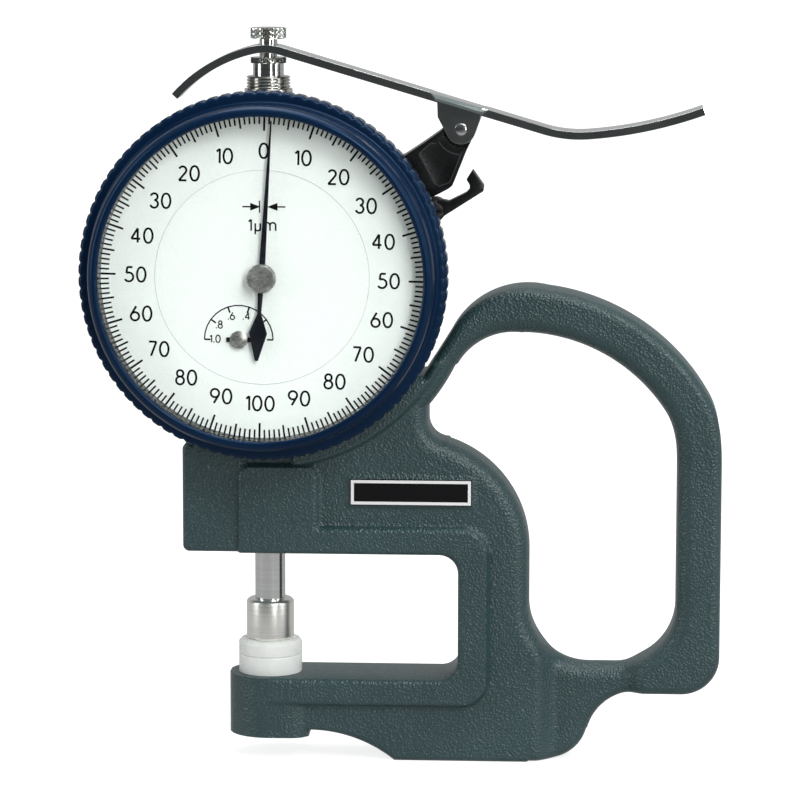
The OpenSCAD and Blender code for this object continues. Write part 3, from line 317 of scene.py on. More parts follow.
def whole(x, z):
    head = block(x, z, (-13.3, ROOF), (DEPTH, ROOF + 17.2), 1)
    body = min(
        head, block(x, z, (0, 0), (COLUMN, ROOF)), ball(x, z, BULGE, BULGE_R),
        block(x, z, (0, ROOF), (CUSP[0], 57)),
        max(crescent(x, z), block(x, z, (0, ROOF), (31, 61.4))),
    )
    edge = 28.6 - 0.625 * (67.8 - z) - x
    handle = min(
        blend(ball(x, z, GRIP, GRIP_R + HANDLE_W), block(x, z, (40.6, 17), (GRIP_X + HANDLE_W, 77)), 2),
        ball(x, z, (40.6, 61.6), 13.5), block(x, z, (57, 11), (GRIP_X + HANDLE_W, 41), 6),
        block(x, z, (57.5, 11), (65, 20)),
        max(crescent(x, z), 0.848 * edge, block(x, z, (18, 50), (40.6, 70))),
    )
    below = min(ball(x, z, (6.6, -16.7), 21.4), block(x, z, (-60, -60), (6.6, 4.2)))
    return max(min(body, handle, web(x, z)), -throat(x, z), -below)


def skyline(x, z):
    solid = max(whole(x, z), -opening(x, z))
    return max(min(solid, block(x, z, (-BOSS_R, BOSS_Z), (BOSS_R, FLOOR))), 27 - math.hypot(x, z - DIAL[1]))


def raised(x, z):
    high = min(
        block(x, z, (-4.5, ROOF - 2), (8, ROOF + 14), 2),
        block(x, z, (-4.2, FLOOR - 4.2), (34.8, ROOF + 4.2), 4.5),
        max(ball(x, z, (0, DIAL[1]), 30.6), block(x, z, (4, ROOF + 8), (31, 63.4))),
    )
    nose = block(x, z, (-60, FLOOR), (-4.5, ROOF + 4.5))
    return max(high, -block(x, z, (-60, -60), (0, FLOOR + 1)), -nose)


def eased_step(t):
    t = min(max(t, 0), 1)
    return t * t * (3 - 2 * t)


def rounding(gap, r):
    inside = r - min(max(gap, 0), r)
    return r - math.sqrt(r * r - inside * inside)


def half_thickness(x, z):
    sunk = min(x - WEB_X0, WEB_X1 - x) / 3.6 if z < 24.8 else 0
    level = PLATE + (WEB - PLATE) * eased_step(sunk) + (RIM - PLATE) * eased_step(0.5 - raised(x, z) / 0.6)
    level += 0.25 * eased_step(0.5 - block(x, z, (12.7, ROOF + 7.4), (32.5, ROOF + 12.3), 0.4) / 0.4)
    edge_r = 1.4 if x > COLUMN or z > 52 else 0.6
    round_off = max(rounding(-whole(x, z), edge_r), rounding(opening(x, z), 2.4))
    level = 0 if x < 0 and z < FLOOR + 1 else level - round_off
    power = 2 if x < 0 else 5
    if BOSS_Z - CELL < z < FLOOR + CELL:
        level = max(level, BOSS_R * max(1 - (abs(x) / BOSS_R) ** power, 0) ** (1 / power))
    return max(level, 0)


def on_edge(x, z):
    for _ in range(3):
        gap = skyline(x, z)
        gx = (skyline(x + 0.02, z) - skyline(x - 0.02, z)) / 0.04
        gz = (skyline(x, z + 0.02) - skyline(x, z - 0.02)) / 0.04
        size = max(gx * gx + gz * gz, 0.2)
        x, z = x - gap * gx / size, z - gap * gz / size
    return x, z


bm = bmesh.new()
low, high = (-14, -0.5), (72, 76)
bmesh.ops.create_grid(
    bm, x_segments=int((high[0] - low[0]) / CELL), y_segments=int((high[1] - low[1]) / CELL), size=0.5,
    matrix=Matrix.LocRotScale(
        Vector((low[0] + high[0], low[1] + high[1], 0)) / 2, None, (high[0] - low[0], high[1] - low[1], 1)
    ),
)
gaps = {v: skyline(v.co.x, v.co.y) for v in bm.verts}
waste = [f for f in bm.faces if max(gaps[v] for v in f.verts) > 0.4 * CELL]
bmesh.ops.delete(bm, geom=waste, context="FACES")
for v in bm.verts:
    x, z = on_edge(v.co.x, v.co.y) if v.is_boundary else v.co.xy
    v.co = ((SPINDLE_X + x) * MM, -half_thickness(x, z) * MM, z * MM)
front = bm.faces[:]
border = [e for e in bm.edges if e.is_boundary]
twin = bmesh.ops.duplicate(bm, geom=bm.verts[:] + bm.edges[:] + front)["vert_map"]
for v in [twin[v] for v in {v for f in front for v in f.verts}]:
    v.co.y = -v.co.y
    if math.hypot(v.co.x / MM - SPINDLE_X - SCREW[0], v.co.z / MM - SCREW[1]) < 2.05:
        v.co.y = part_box("stem_set_screw")[1][1] - 0.15 * MM
for edge in border:
    a, b = edge.verts
    bm.faces.new((a, b, twin[b], twin[a]))
bmesh.ops.remove_doubles(bm, verts=bm.verts, dist=1e-6)
bmesh.ops.recalc_face_normals(bm, faces=bm.faces)
dress(put("frame_skin", bm, 50), grain_paint, "frame", "grain_paint", "frame_casting")


# Name plate: a thin metal plate with a black field and a white printed border,
# stuck to a shallow pad of the casting.
def soften(bm, size, segments=2, angle=30, keep=None):
    sharp = [
        e for e in bm.edges
        if e.is_manifold and e.calc_face_angle(0) > math.radians(angle) and (keep is None or keep(e))
    ]
    bmesh.ops.bevel(
        bm, geom=sharp, offset=size, offset_type="OFFSET", affect="EDGES",
        segments=segments, profile=0.5, material=-1, clamp_overlap=True,
    )


plate_low, plate_high = (Vector(c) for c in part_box("name_plate"))
bm = bmesh.new()
bmesh.ops.create_cube(bm, size=1)
bmesh.ops.scale(bm, vec=plate_high - plate_low, verts=bm.verts)
bmesh.ops.translate(bm, vec=(plate_low + plate_high) / 2, verts=bm.verts)
soften(bm, 0.08 * MM)
front = max((f for f in bm.faces if f.normal.y < -0.99), key=lambda f: f.calc_area())
bmesh.ops.inset_region(bm, faces=[front], thickness=0.06 * MM, depth=0)
rim = set(bm.faces)
bmesh.ops.inset_region(bm, faces=[front], thickness=0.66 * MM, depth=0)
for face in set(bm.faces) - rim:
    if face is not front:
        face.material_index = 1
bmesh.ops.inset_region(bm, faces=[front], thickness=0.03 * MM, depth=-0.03 * MM)
plate = put("name_plate_skin", bm)
plate_black = paint("plate_black", (0.004, 0.004, 0.005), roughness=0.5)
tune(plate_black, "Specular IOR Level", 0.2)
flow = pattern(plate_black, Scale=900, Detail=2)
spread(plate_black, flow.outputs["Fac"], 0.25, 0.4, "Roughness")
plate_white = paint("plate_white", (0.95, 0.95, 0.94), roughness=0.4)
flow = pattern(plate_white, Scale=700, Detail=2)
spread(plate_white, flow.outputs["Fac"], 0.34, 0.5, "Roughness")
dress(plate, plate_black, "frame", "plate_black", "name_plate")
plate.data.materials.append(plate_white)


# Anvil and contact tip: two discs of white sintered ceramic with lapped faces.
# The lower one is pressed into the boss, the upper one is cemented into its steel holder.
def turned(profile, steps=128, centre=None, closed=True):
    bm = bmesh.new()
    if centre is None:
        points = [bm.verts.new(((SPINDLE_X + r) * MM, 0, h * MM)) for r, h in profile]
        axis, cent = (0, 0, 1), (SPINDLE_X * MM, 0, 0)
    else:
        points = [bm.verts.new(((centre[0] + r) * MM, -h * MM, centre[1] * MM)) for r, h in profile]
        axis, cent = (0, -1, 0), (centre[0] * MM, 0, centre[1] * MM)
    pairs = list(zip(points, points[1:])) + ([(points[-1], points[0])] if closed else [])
    edges = [bm.edges.new(p) for p in pairs]
    bmesh.ops.spin(
        bm, geom=points + edges, cent=cent, axis=axis, angle=2 * math.pi, steps=steps, use_merge=True,
    )
    bmesh.ops.remove_doubles(bm, verts=bm.verts, dist=1e-7)
    bmesh.ops.recalc_face_normals(bm, faces=bm.faces)
    return bm


ceramic = paint("ceramic_white", (0.86, 0.87, 0.84), roughness=0.28)
tune(ceramic, "Subsurface Weight", 0.12)
tune(ceramic, "Subsurface Radius", (0.002, 0.002, 0.0018))
speck = pattern(ceramic, Scale=420, Detail=4)
tint(ceramic, speck, [(0.35, (0.9, 0.92, 0.88)), (0.65, (0.95, 0.96, 0.93))])
spread(ceramic, speck.outputs["Fac"], 0.2, 0.36, "Roughness")

bm = turned([(0, 8.2), (3, 8.2), (3, 13.2), (5, 13.2), (5, 16.0), (4.9, 16.1), (0, 16.1)], closed=False)
soften(bm, 0.1 * MM, 3)
dress(put("anvil_disc", bm), ceramic, "frame", "ceramic_white", "anvil")
bm = turned([
    (0, 16.12), (4.9, 16.12), (5, 16.22), (5, 18.05), (4.6, 18.5), (1.5, 18.52), (1.5, 21.5), (0, 21.5)
], closed=False)
soften(bm, 0.12 * MM, 3)
dress(put("contact_disc", bm), ceramic, "plunger", "ceramic_white", "contact_tip")

# Contact holder and spindle: a turned steel cup that still shows the lathe's fine rings,
# on a hardened rod that is ground and polished.
turned_steel = paint("turned_steel", (0.52, 0.52, 0.5), metallic=1, roughness=0.3)
rings = pattern(turned_steel, stretch=(40, 40, 9000), Scale=1, Detail=2)
tint(turned_steel, rings, [(0.3, (0.8, 0.8, 0.76)), (0.7, (0.95, 0.95, 0.9))])
spread(turned_steel, rings.outputs["Fac"], 0.22, 0.42, "Roughness")
rough_skin(turned_steel, [(rings.outputs["Fac"], 0.25, 0.00004)])

bright_steel = paint("bright_steel", (0.66, 0.67, 0.66), metallic=1, roughness=0.14)
lines = pattern(bright_steel, stretch=(60, 60, 2600), Scale=1, Detail=3)
tint(bright_steel, lines, [(0.3, (0.6, 0.61, 0.6)), (0.7, (0.7, 0.71, 0.7))])
spread(bright_steel, lines.outputs["Fac"], 0.1, 0.2, "Roughness")

bm = turned([
    (1.52, 18.52), (3.45, 18.52), (3.75, 18.85), (3.75, 24.55), (3.4, 24.92), (1.25, 24.92), (1.25, 28.92),
    (0, 28.92), (0, 21.54), (1.52, 21.54),
], closed=False)
soften(bm, 0.08 * MM)
dress(put("holder_cup", bm), turned_steel, "plunger", "turned_steel", "contact_holder")
for node in (
    "spindle", "guide_pin", "stem", "centre_arbor", "counter_arbor", "rack_pinion", "intermediate_pinion",
):
    dress(nodes[node], bright_steel)


# Indicator case: a pressed and turned shell with a screwed lid at its back, both stoved in a dark
# satin enamel. The stem bush and the set screw lie in the frame's head.
def eased(node, size, segments=2, angle=28):
    bm = copied(node, 2e-6)
    bmesh.ops.dissolve_limit(
        bm, angle_limit=math.radians(0.8), use_dissolve_boundaries=False, verts=bm.verts, edges=bm.edges,
        delimit={"NORMAL"},
    )
    soften(bm, size, segments, angle)
    bmesh.ops.triangulate(bm, faces=[f for f in bm.faces if len(f.verts) > 4])
    return bm


case_dark = paint("case_dark", (0.028, 0.034, 0.045), roughness=0.38)
skin = pattern(case_dark, Scale=1100, Detail=3)
cloud = pattern(case_dark, Scale=110, Detail=2)
tint(case_dark, cloud, [(0.3, (0.024, 0.029, 0.039)), (0.7, (0.034, 0.04, 0.052))])
spread(case_dark, skin.outputs["Fac"], 0.3, 0.46, "Roughness")
rough_skin(case_dark, [(skin.outputs["Fac"], 0.15, 0.00008)])
case_shell = put("case_shell", eased("indicator_case", 0.15 * MM))
dress(case_shell, case_dark, "frame", "case_dark", "indicator_case")
dress(put("case_lid", eased("back_cover", 0.18 * MM)), case_dark, "frame", "case_dark", "back_cover")

screw_steel = paint("screw_steel", (0.46, 0.47, 0.47), metallic=1, roughness=0.3)
scuff = pattern(screw_steel, Scale=2400, Detail=4)
tint(screw_steel, scuff, [(0.35, (0.38, 0.39, 0.39)), (0.65, (0.54, 0.55, 0.55))])
spread(screw_steel, scuff.outputs["Fac"], 0.22, 0.4, "Roughness")
lid_screws = put("lid_screws", eased("back_cover_screws", 0.1 * MM))
dress(lid_screws, screw_steel, "frame", "screw_steel", "back_cover_screws")
black_steel = paint("black_steel", (0.018, 0.018, 0.02), metallic=0.6, roughness=0.36)
scuff = pattern(black_steel, Scale=1800, Detail=4)
tint(black_steel, scuff, [(0.4, (0.014, 0.014, 0.016)), (0.75, (0.05, 0.05, 0.052))])
set_screw = put("set_screw", eased("stem_set_screw", 0.1 * MM))
dress(set_screw, black_steel, "frame", "black_steel", "stem_set_screw")

# Movement: brass plates, wheels and pillars, blued screws, steel springs and ruby bearings
# between the case's back and the dial.
brass = paint("brass_plate", (0.62, 0.45, 0.17), metallic=1, roughness=0.3)
brush = pattern(brass, stretch=(4200, 4200, 120), Scale=1, Detail=2)
tint(brass, brush, [(0.3, (0.55, 0.39, 0.14)), (0.7, (0.68, 0.5, 0.2))])
spread(brass, brush.outputs["Fac"], 0.22, 0.4, "Roughness")
bronze = paint("bronze", (0.5, 0.33, 0.14), metallic=1, roughness=0.35)
brush = pattern(bronze, stretch=(60, 60, 3600), Scale=1, Detail=2)
tint(bronze, brush, [(0.3, (0.44, 0.29, 0.12)), (0.7, (0.56, 0.38, 0.17))])
spring_steel = paint("spring_steel", (0.32, 0.34, 0.4), metallic=1, roughness=0.22)
temper = pattern(spring_steel, Scale=300, Detail=2)
tint(spring_steel, temper, [(0.3, (0.26, 0.28, 0.36)), (0.7, (0.38, 0.4, 0.46))])
ruby = paint("ruby", (0.42, 0.01, 0.04), roughness=0.08, coat=0.6)
vein = pattern(ruby, Scale=1500, Detail=3)
tint(ruby, vein, [(0.3, (0.36, 0.008, 0.03)), (0.7, (0.5, 0.02, 0.06))])
for mat, names in (
    (brass, (
        "base_plate", "front_plate", "plate_pillars", "guide_block", "rack_bridge", "counter_gear",
        "rack_gear", "intermediate_gear",
    )),
    (bronze, ("stem_bush",)),
    (spring_steel, ("return_spring", "hairspring")),
    (screw_steel, ("plate_screws", "guide_screws", "spring_post", "hairspring_stud", "bridge_screws")),
    (ruby, ("jewel_bearings",)),
):
    for node in names:
        dress(nodes[node], mat)

# Dial: a fixed white disc and a white ring that turns with the bezel, both silvered matt,
# with the graduation and the figures printed in black.
dial_white = paint("dial_white", (0.8, 0.83, 0.8), roughness=0.42)
dial_middle = (DIAL[0] * MM, 0, DIAL[1] * MM)
silver = pattern(dial_white, stretch=(1, 0.2, 1), middle=dial_middle, Scale=2600, Detail=3)
tint(dial_white, silver, [(0.3, (0.74, 0.785, 0.75)), (0.7, (0.79, 0.825, 0.795))])
spread(dial_white, silver.outputs["Fac"], 0.36, 0.5, "Roughness")
dress(nodes["dial_centre"], dial_white)
dress(nodes["dial_ring"], dial_white)

FACE, RING_R, FIGURE_R = 12.6, 24.95, 19.5
FIGURES = {
    "0": (0.6, [(0.6, 0.5, 90, [(0.773, 30), (0.227, 120), (0.773, 60), (0.227, 120), (0.773, 30)])]),
    "1": (0.22, [(0.22, 1, -90, [1.0]), (0, 0.8, 42, [0.29])]),
    "2": (0.56, [(0.055, 0.796, 70, [(0.25, -199), 0.72]), (0.02, 0, 0, [0.54])]),
    "3": (0.54, [(0.043, 0.826, 75, [(0.235, -255)]), (0.27, 0.53, 0, [(0.265, -255)])]),
    "4": (0.62, [(0.44, 1, -121.1, [0.852]), (0, 0.27, 0, [0.62]), (0.44, 1, -90, [1.0])]),
    "5": (0.56, [(0.5, 1, 180, [0.37]), (0.14, 1, -98, [0.43]), (0.081, 0.57, 33, [(0.31, -273)])]),
    "6": (0.58, [(0.58, 0.29, 90, [(0.29, 360)]), (0.039, 0.435, 60, [0.652])]),
    "7": (0.52, [(0, 1, 0, [0.53]), (0.52, 1, -109.8, [1.063])]),
    "8": (0.55, [(0.5, 0.775, 90, [(0.225, 360)]), (0.55, 0.275, 90, [(0.275, 360)])]),
    "9": (0.58, [(0, 0.71, -90, [(0.29, 360)]), (0.541, 0.565, -120, [0.652])]),
    ".": (0.1, [(0.0, 0.05, 0, [0.16])]),
    "u": (0.44, [(0, 0.66, -90, [0.98]), (0, 0.22, -90, [(0.22, 180), 0.44]), (0.44, 0.3, -90, [0.3])]),
    "m": (1.0, [
        (0, 0, 90, [0.72]), (0, 0.47, 90, [(0.25, -180), 0.47]), (0.5, 0.47, 90, [(0.25, -180), 0.47]),
    ]),
}


def stroke(bm, start, heading, steps, pen):
    a = math.radians(heading)
    at = Vector((*start, 0))
    across = Vector((-math.sin(a), math.cos(a), 0)) * pen / 2
    pair = [bm.verts.new(at + across), bm.verts.new(at - across)]
    edge = bm.edges.new(pair)
    for step in steps:
        if isinstance(step, tuple):
            r, turn = step
            side = math.copysign(1, turn)
            cent = at + side * r * Vector((-math.sin(a), math.cos(a), 0))
            swept = bmesh.ops.spin(
                bm, geom=list(edge.verts) + [edge], cent=cent, axis=(0, 0, 1), angle=math.radians(turn),
                steps=max(3, int(abs(turn) / 12)),
            )["geom_last"]
            a += math.radians(turn)
            at = cent - side * r * Vector((-math.sin(a), math.cos(a), 0))
        else:
            swept = bmesh.ops.extrude_edge_only(bm, edges=[edge])["geom"]
            move = Vector((math.cos(a), math.sin(a), 0)) * step
            bmesh.ops.translate(bm, verts=[v for v in swept if isinstance(v, bmesh.types.BMVert)], vec=move)
            at = at + move
        edge = [e for e in swept if isinstance(e, bmesh.types.BMEdge)][0]


def write(bm, words, centre, height, weight=0.15, gap=0.26):
    width = sum(FIGURES[c][0] for c in words) + gap * (len(words) - 1)
    old = set(bm.verts)
    x = -width / 2
    for c in words:
        for px, py, heading, steps in FIGURES[c][1]:
            stroke(bm, (x + px, py - 0.5), heading, steps, weight)
        x += FIGURES[c][0] + gap
    new = [v for v in bm.verts if v not in old]
    for v in new:
        v.co = Vector((*centre, 0)) + v.co * height * (1 - weight)


def mark(bm, r0, r1, angle, pen):
    a = math.radians(90 - angle)
    stroke(bm, (r0 * math.cos(a), r0 * math.sin(a)), 90 - angle, [r1 - r0], pen)


def printed(name, bm, turn=0.0, lift=0.02):
    bmesh.ops.rotate(bm, verts=bm.verts, cent=(0, 0, 0), matrix=Matrix.Rotation(math.radians(-turn), 3, "Z"))
    bmesh.ops.scale(bm, verts=bm.verts, vec=(MM, MM, MM))
    bmesh.ops.rotate(bm, verts=bm.verts, cent=(0, 0, 0), matrix=Matrix.Rotation(math.radians(90), 3, "X"))
    bmesh.ops.translate(bm, verts=bm.verts, vec=(DIAL[0] * MM, -(FACE + lift) * MM, DIAL[1] * MM))
    for face in bm.faces:
        face.normal_update()
    bmesh.ops.reverse_faces(bm, faces=[f for f in bm.faces if f.normal.y > 0])
    return put(name, bm, 180)


ink = paint("dial_ink", (0.003, 0.003, 0.004), roughness=0.7)
tune(ink, "Specular IOR Level", 0.1)
soak = pattern(ink, Scale=3200, Detail=2)
tint(ink, soak, [(0.3, (0.002, 0.002, 0.003)), (0.7, (0.005, 0.005, 0.006))])

bm = bmesh.new()
for k in range(200):
    inner, pen = (22.55, 0.32) if k % 10 == 0 else (23.05, 0.29) if k % 5 == 0 else (23.6, 0.27)
    mark(bm, inner, RING_R, 1.8 * k, pen)
for k in range(11):
    for side in ((1, -1) if 0 < k < 10 else (1,)):
        a = math.radians(90 - side * 18 * k)
        write(bm, str(10 * k), (FIGURE_R * math.cos(a), FIGURE_R * math.sin(a)), 2.6)
dress(printed("ring_print", bm, 1.09), ink, "bezel", "dial_white")

bm = bmesh.new()
write(bm, "1um", (0.08, 8.1), 2.05, weight=0.15, gap=0.36)
stroke(bm, (-0.32, 10.0), 90, [1.85], 0.2)
for side in (1, -1):
    stroke(bm, (0.35 + side * 3.3, 10.92), 180 if side > 0 else 0, [1.5], 0.22)
COUNTER = (-3.6, -9.6)
stroke(bm, (COUNTER[0] + 5.3, COUNTER[1]), 90, [(5.3, 180)], 0.2)
for k, words in enumerate(("0", ".2", ".4", ".6", ".8", "1.0")):
    a = math.radians(36 * k)
    out = Vector((math.cos(a), math.sin(a)))
    stroke(bm, Vector(COUNTER) + 5.3 * out, 36 * k + 180, [0.95], 0.26)
    reach = 3.75 if 0 < k < 5 else 3.65
    write(bm, words, Vector(COUNTER) + reach * out + Vector((0, 0.1)), 1.35, 0.17, 0.24)
for side in (1, -1):
    tip = 0.35 + side * 0.5
    point = [bm.verts.new((tip + side * d, 10.92 + w, 0)) for d, w in ((0, 0), (1.6, 0.6), (1.6, -0.6))]
    bm.faces.new(point)
dress(printed("centre_print", bm), ink, "frame", "dial_white")

# Hands: thin strips blanked from sheet and blackened, riveted to small steel hubs.
hand_dark = paint("hand_dark", (0.006, 0.007, 0.01), roughness=0.5)
tune(hand_dark, "Specular IOR Level", 0.15)
blue = pattern(hand_dark, Scale=500, Detail=3)
tint(hand_dark, blue, [(0.3, (0.004, 0.005, 0.008)), (0.7, (0.009, 0.011, 0.016))])
spread(hand_dark, blue.outputs["Fac"], 0.28, 0.42, "Roughness")
dress(put("reading_hand", eased("main_hand", 0.03 * MM, 1)), hand_dark, "hand", "hand_dark", "main_hand")
hub_low, hub_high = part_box("hand_hub")
hub_face = -hub_low[1] / MM
hub_back = -hub_high[1] / MM
hub_steel = paint("hub_steel", (0.36, 0.36, 0.34), metallic=1, roughness=0.34)
cut = pattern(hub_steel, stretch=(1, 0.2, 1.6), Scale=1300, Detail=3, Distortion=1.2)
tint(hub_steel, cut, [(0.3, (0.24, 0.24, 0.22)), (0.5, (0.38, 0.38, 0.36)), (0.7, (0.55, 0.55, 0.52))])
rough_skin(hub_steel, [(cut.outputs["Fac"], 0.35, 0.00008)])
bm = turned([
    (0.52, hub_back), (1.1, hub_back), (1.1, 13.55), (2.25, 13.55), (2.25, hub_face - 0.3), (2.0, hub_face),
    (1.5, hub_face - 0.05), (0.45, hub_face - 0.12), (0, hub_face - 0.12), (0, hub_face - 0.3),
    (0.52, hub_face - 0.3),
], 96, DIAL, closed=False)
soften(bm, 0.05 * MM)
dress(put("hand_boss", bm), hub_steel, "hand", "turned_steel", "hand_hub")
turns = put("turns_hand", eased("counter_hand", 0.03 * MM, 1))
dress(turns, hand_dark, "counter", "hand_dark", "counter_hand")
turns.data.materials.append(hub_steel)
axis = Vector(((DIAL[0] + COUNTER[0]) * MM, 0, (DIAL[1] + COUNTER[1]) * MM))
for face in turns.data.polygons:
    if (face.center - axis).xz.length < 1.38 * MM:
        face.material_index = 1

# Bezel: a moulded navy ring with a scalloped edge for the fingers, that snaps over the case
# and holds the clear crystal and a black spacer.
bezel_navy = paint("bezel_navy", (0.004, 0.011, 0.028), roughness=0.24)
tune(bezel_navy, "Specular IOR Level", 0.3)
tune(bezel_navy, "Specular Tint", (0.35, 0.6, 1, 1))
mould = pattern(bezel_navy, Scale=1300, Detail=3)
haze = pattern(bezel_navy, Scale=80, Detail=2)
tint(bezel_navy, haze, [(0.3, (0.002, 0.011, 0.036)), (0.7, (0.003, 0.016, 0.048))])
spread(bezel_navy, mould.outputs["Fac"], 0.18, 0.3, "Roughness")
rough_skin(bezel_navy, [(mould.outputs["Fac"], 0.08, 0.00006)])
SCALLOPS, SCALLOP_DEPTH, FLANGE_R = 90, 0.24, 27.6
bm = turned([
    (26.05, 7.6), (27.7, 7.6), (28.2, 7.75), (28.5, 8.1), (28.5, 9.4), (28.5, 10.6), (28.5, 11.5),
    (28.3, 11.85), (27.95, 12.0), (27.2, 12.0), (26.95, 12.05), (26.8, 12.3), (26.72, 13.2), (26.68, 14.4),
    (26.6, 15.6), (26.4, 16.3), (26.0, 16.8), (25.6, 16.98), (25.3, 16.96), (25.1, 16.85), (24.95, 16.6),
    (24.92, 16.2), (25.45, 16.2), (25.45, 9.12), (26.05, 9.12),
], SCALLOPS * 8, DIAL)
for v in bm.verts:
    dx, dz = v.co.x / MM - DIAL[0], v.co.z / MM - DIAL[1]
    r = math.hypot(dx, dz)
    if r > FLANGE_R:
        dip = max(0.0, math.cos(SCALLOPS * math.atan2(dz, dx))) ** 2
        cut_r = r - SCALLOP_DEPTH * dip * min(1, (r - FLANGE_R) / 0.6)
        v.co.x, v.co.z = (DIAL[0] + dx * cut_r / r) * MM, (DIAL[1] + dz * cut_r / r) * MM
dress(put("bezel", bm, 50), bezel_navy, "bezel", "bezel_navy", "bezel_ring")

clear = paint("clear_crystal", (0.97, 0.985, 0.98), roughness=0.02)
tune(clear, "Transmission Weight", 1)
tune(clear, "IOR", 1.15)
bm = turned([(0, 15.2), (25.43, 15.2), (25.43, 16.2), (0, 16.2)], 128, DIAL, closed=False)
dial_glass = put("dial_glass", bm, 30)
dial_glass.visible_shadow = False
dress(dial_glass, clear, "bezel", "clear_crystal", "crystal")

black_plastic = paint("black_plastic", (0.012, 0.0125, 0.013), roughness=0.34)
spark = pattern(black_plastic, Scale=1700, Detail=3)
cloud = pattern(black_plastic, Scale=160, Detail=2)
tint(black_plastic, cloud, [(0.3, (0.003, 0.0033, 0.0036)), (0.7, (0.006, 0.0064, 0.007))])
spread(black_plastic, spark.outputs["Fac"], 0.2, 0.34, "Roughness")
rough_skin(black_plastic, [(spark.outputs["Fac"], 0.15, 0.00008)])
dress(nodes["crystal_spacer"], black_plastic)

# Lever bracket and bezel clamp: black mouldings screwed to the case. The bracket carries the lever's
# pivot, and the clamp's hook turns on a screw and presses against the bezel.
bracket = put("bracket_block", eased("lever_bracket", 0.3 * MM, 3))
dress(bracket, black_plastic, "frame", "black_plastic", "lever_bracket")
clamp_hook = put("clamp_hook", eased("bezel_clamp", 0.2 * MM, 3))
dress(clamp_hook, black_plastic, "clamp", "black_plastic", "bezel_clamp")
dress(put("clamp_bolt", eased("clamp_screw", 0.1 * MM)), black_steel, "frame", "black_steel", "clamp_screw")
dress(nodes["bracket_screws"], black_steel)
# Thin lighter strokes along the outline of the bracket's inset panel: a painted highlight that stands in for
# light caught on the panel's edge.
PIVOT, LINE = (30.1, 99.6), 0.16
PANEL = [(0.2, -3.4), (-1.7, -8.2), (-3.3, -8.8), (-4.1, -8.3), (-6.5, -3.8), (-4.6, -2.1), (-3.9, -2.2)]
bm = bmesh.new()
for (x0, z0), (x1, z1) in zip(PANEL, PANEL[1:]):
    heading = math.degrees(math.atan2(z1 - z0, x1 - x0))
    stroke(bm, (PIVOT[0] + x0, PIVOT[1] + z0), heading, [math.hypot(x1 - x0, z1 - z0)], LINE)
stroke(bm, (PIVOT[0] - 3.38, PIVOT[1] - 1.95), -60, [(3.9, 58)], LINE)
bmesh.ops.rotate(bm, verts=bm.verts, cent=(0, 0, 0), matrix=Matrix.Rotation(math.radians(90), 3, "X"))
bmesh.ops.translate(bm, verts=bm.verts, vec=(SPINDLE_X, -3.52, 0))
bmesh.ops.scale(bm, verts=bm.verts, vec=(MM, MM, MM))
# Painted highlight colour for those strokes, a little lighter than the black moulding.
edge_highlight_paint = paint("painted_edge_highlight", (0.05, 0.055, 0.06), roughness=0.3)
shine = pattern(edge_highlight_paint, Scale=900, Detail=2)
spread(edge_highlight_paint, shine.outputs["Fac"], 0.2, 0.45, "Roughness")
dress(put("panel_highlight_line", bm, 180), edge_highlight_paint, "frame", "black_plastic")

# Upper bush, collar and knob: turned from nickel-plated steel. The bush has a thread for a cap,
# and the collar and the knob are knurled to be lifted by hand.
nickel = paint("nickel", (0.62, 0.62, 0.59), metallic=1, roughness=0.16)
plating = pattern(nickel, stretch=(200, 200, 4200), Scale=1, Detail=2)
tint(nickel, plating, [(0.3, (0.54, 0.54, 0.51)), (0.7, (0.68, 0.68, 0.65))])
spread(nickel, plating.outputs["Fac"], 0.12, 0.24, "Roughness")
bush = [(2.46, 101.7), (3.1, 101.7), (3.1, 103.5), (3.75, 103.5), (3.75, 105.6)]
for k in range(4):
    bush += [(3.12, 105.7 + 0.48 * k), (3.45, 105.88 + 0.48 * k), (3.45, 105.98 + 0.48 * k)]
bush += [(3.12, 107.58), (2.9, 107.6), (2.46, 107.6)]
bm = turned(bush, 96)
soften(bm, 0.05 * MM, 1, 50)
dress(put("threaded_bush", bm, 40), nickel, "frame", "bright_steel", "upper_bush")


def knurl(bm, low, high, radius, count, depth):
    levels = sorted({round(v.co.z, 6) for v in bm.verts if low * MM < v.co.z < high * MM})
    for v in bm.verts:
        dx, dy = v.co.x / MM - SPINDLE_X, v.co.y / MM
        r = math.hypot(dx, dy)
        z = round(v.co.z, 6)
        if z in levels and r > radius - 0.05:
            turn = round(math.atan2(dy, dx) / (2 * math.pi) * count)
            push = r - depth * ((turn + levels.index(z)) % 2)
            v.co.x, v.co.y = (SPINDLE_X + dx * push / r) * MM, dy * push / r * MM
    bmesh.ops.triangulate(bm, faces=bm.faces, quad_method="SHORT_EDGE")


KNURL_R, KNURLS, KNURL_DEPTH = 2.85, 44, 0.3
knob_low, knob_high = (c[2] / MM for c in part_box("lifting_knob"))
collar_low, collar_high = (c[2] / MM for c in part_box("lifting_collar"))
knob_z = knob_high - 1.7
side = [(KNURL_R, knob_z + 0.15 + 1.4 * k / 4) for k in range(5)]
bm = turned([
    (0, knob_low), (1, knob_low), (1, collar_high), (1.4, collar_high), (1.4, knob_z), (2.6, knob_z), *side,
    (2.6, knob_high - 0.02), (2.4, knob_high), (0, knob_high),
], KNURLS, closed=False)
knurl(bm, knob_z + 0.1, knob_high - 0.1, KNURL_R, KNURLS, KNURL_DEPTH)
dress(put("knob", bm, 20), nickel, "plunger", "turned_steel", "lifting_knob")
side = [(KNURL_R, collar_low + 0.1 + (collar_high - collar_low - 0.2) * k / 2) for k in range(3)]
bm = turned([(1.02, collar_low), (2.7, collar_low), *side, (2.7, collar_high), (1.02, collar_high)], KNURLS)
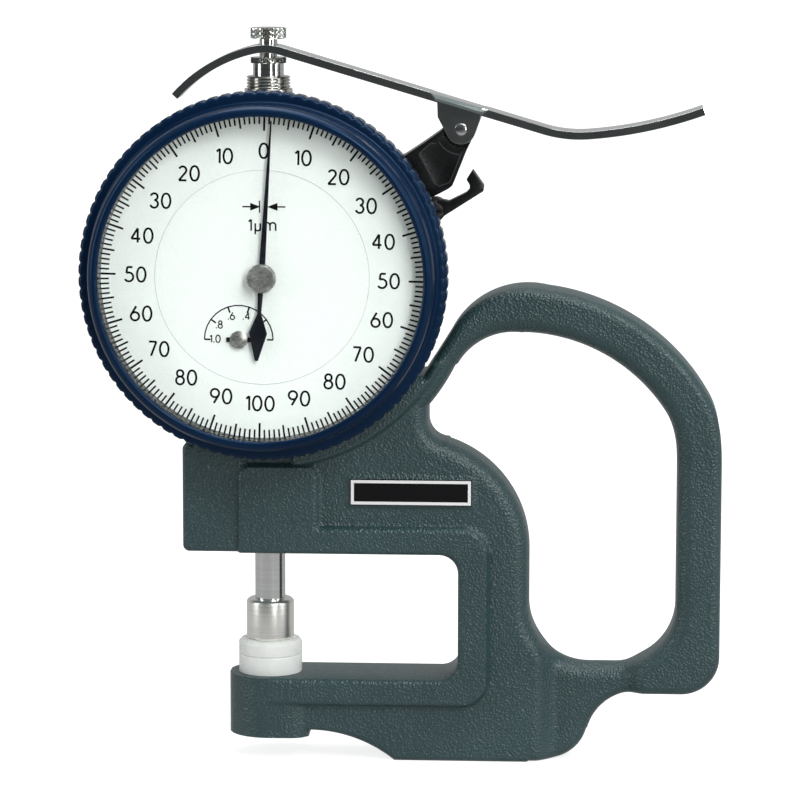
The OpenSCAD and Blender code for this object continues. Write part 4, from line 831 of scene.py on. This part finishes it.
knurl(bm, collar_low + 0.05, collar_high - 0.05, KNURL_R, KNURLS, KNURL_DEPTH)
dress(put("collar", bm, 20), nickel, "plunger", "turned_steel", "lifting_collar")

# Lift lever: a strip of sheet steel bent to a wave for the thumb, with two ears folded down
# over the bracket's tongue. It is polished and chromed, and its pin is riveted.
lever_chrome = paint("lever_chrome", (0.78, 0.8, 0.8), metallic=1, roughness=0.06)
wipe = pattern(lever_chrome, stretch=(30, 700, 30), Scale=1, Detail=3)
spread(lever_chrome, wipe.outputs["Fac"], 0.03, 0.12, "Roughness")
bend_mark = pattern(lever_chrome, Scale=120, Detail=2)
rough_skin(lever_chrome, [(bend_mark.outputs["Fac"], 0.3, 0.0004)])
bm = copied("lift_lever", 2e-6)
bmesh.ops.dissolve_limit(
    bm, angle_limit=math.radians(0.8), verts=bm.verts, edges=bm.edges, delimit={"NORMAL"},
)
pin_low, pin_high = (Vector(c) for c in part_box("lever_pin"))
pin = (pin_low + pin_high) / 2
for x in (pin.x - 3.9 * MM, pin.x + 3.3 * MM):
    everything = bm.verts[:] + bm.edges[:] + bm.faces[:]
    bmesh.ops.bisect_plane(bm, geom=everything, plane_co=(x, 0, 0), plane_no=(1, 0, 0))
fold = [
    e for e in bm.edges
    if abs((e.verts[0].co + e.verts[1].co).x / 2 - pin.x) < 3.3 * MM and e.calc_length() > 5 * MM
    and min(abs(v.co.y) for v in e.verts) > 3.4 * MM and e.calc_face_angle(0) > 1
    and max(v.co.z for v in e.verts) > pin.z + 3 * MM
]
bmesh.ops.bevel(
    bm, geom=fold, offset=1.0 * MM, offset_type="OFFSET", affect="EDGES",
    segments=4, profile=0.5, material=-1, clamp_overlap=True,
)
soften(bm, 0.36 * MM, 4, 40)
bmesh.ops.triangulate(bm, faces=[f for f in bm.faces if len(f.verts) > 4])
dress(put("thumb_lever", bm, 8), lever_chrome, "lever", "lever_chrome", "lift_lever")
dress(put("pivot_pin", eased("lever_pin", 0.1 * MM, 2)), bright_steel, "lever", "bright_steel", "lever_pin")
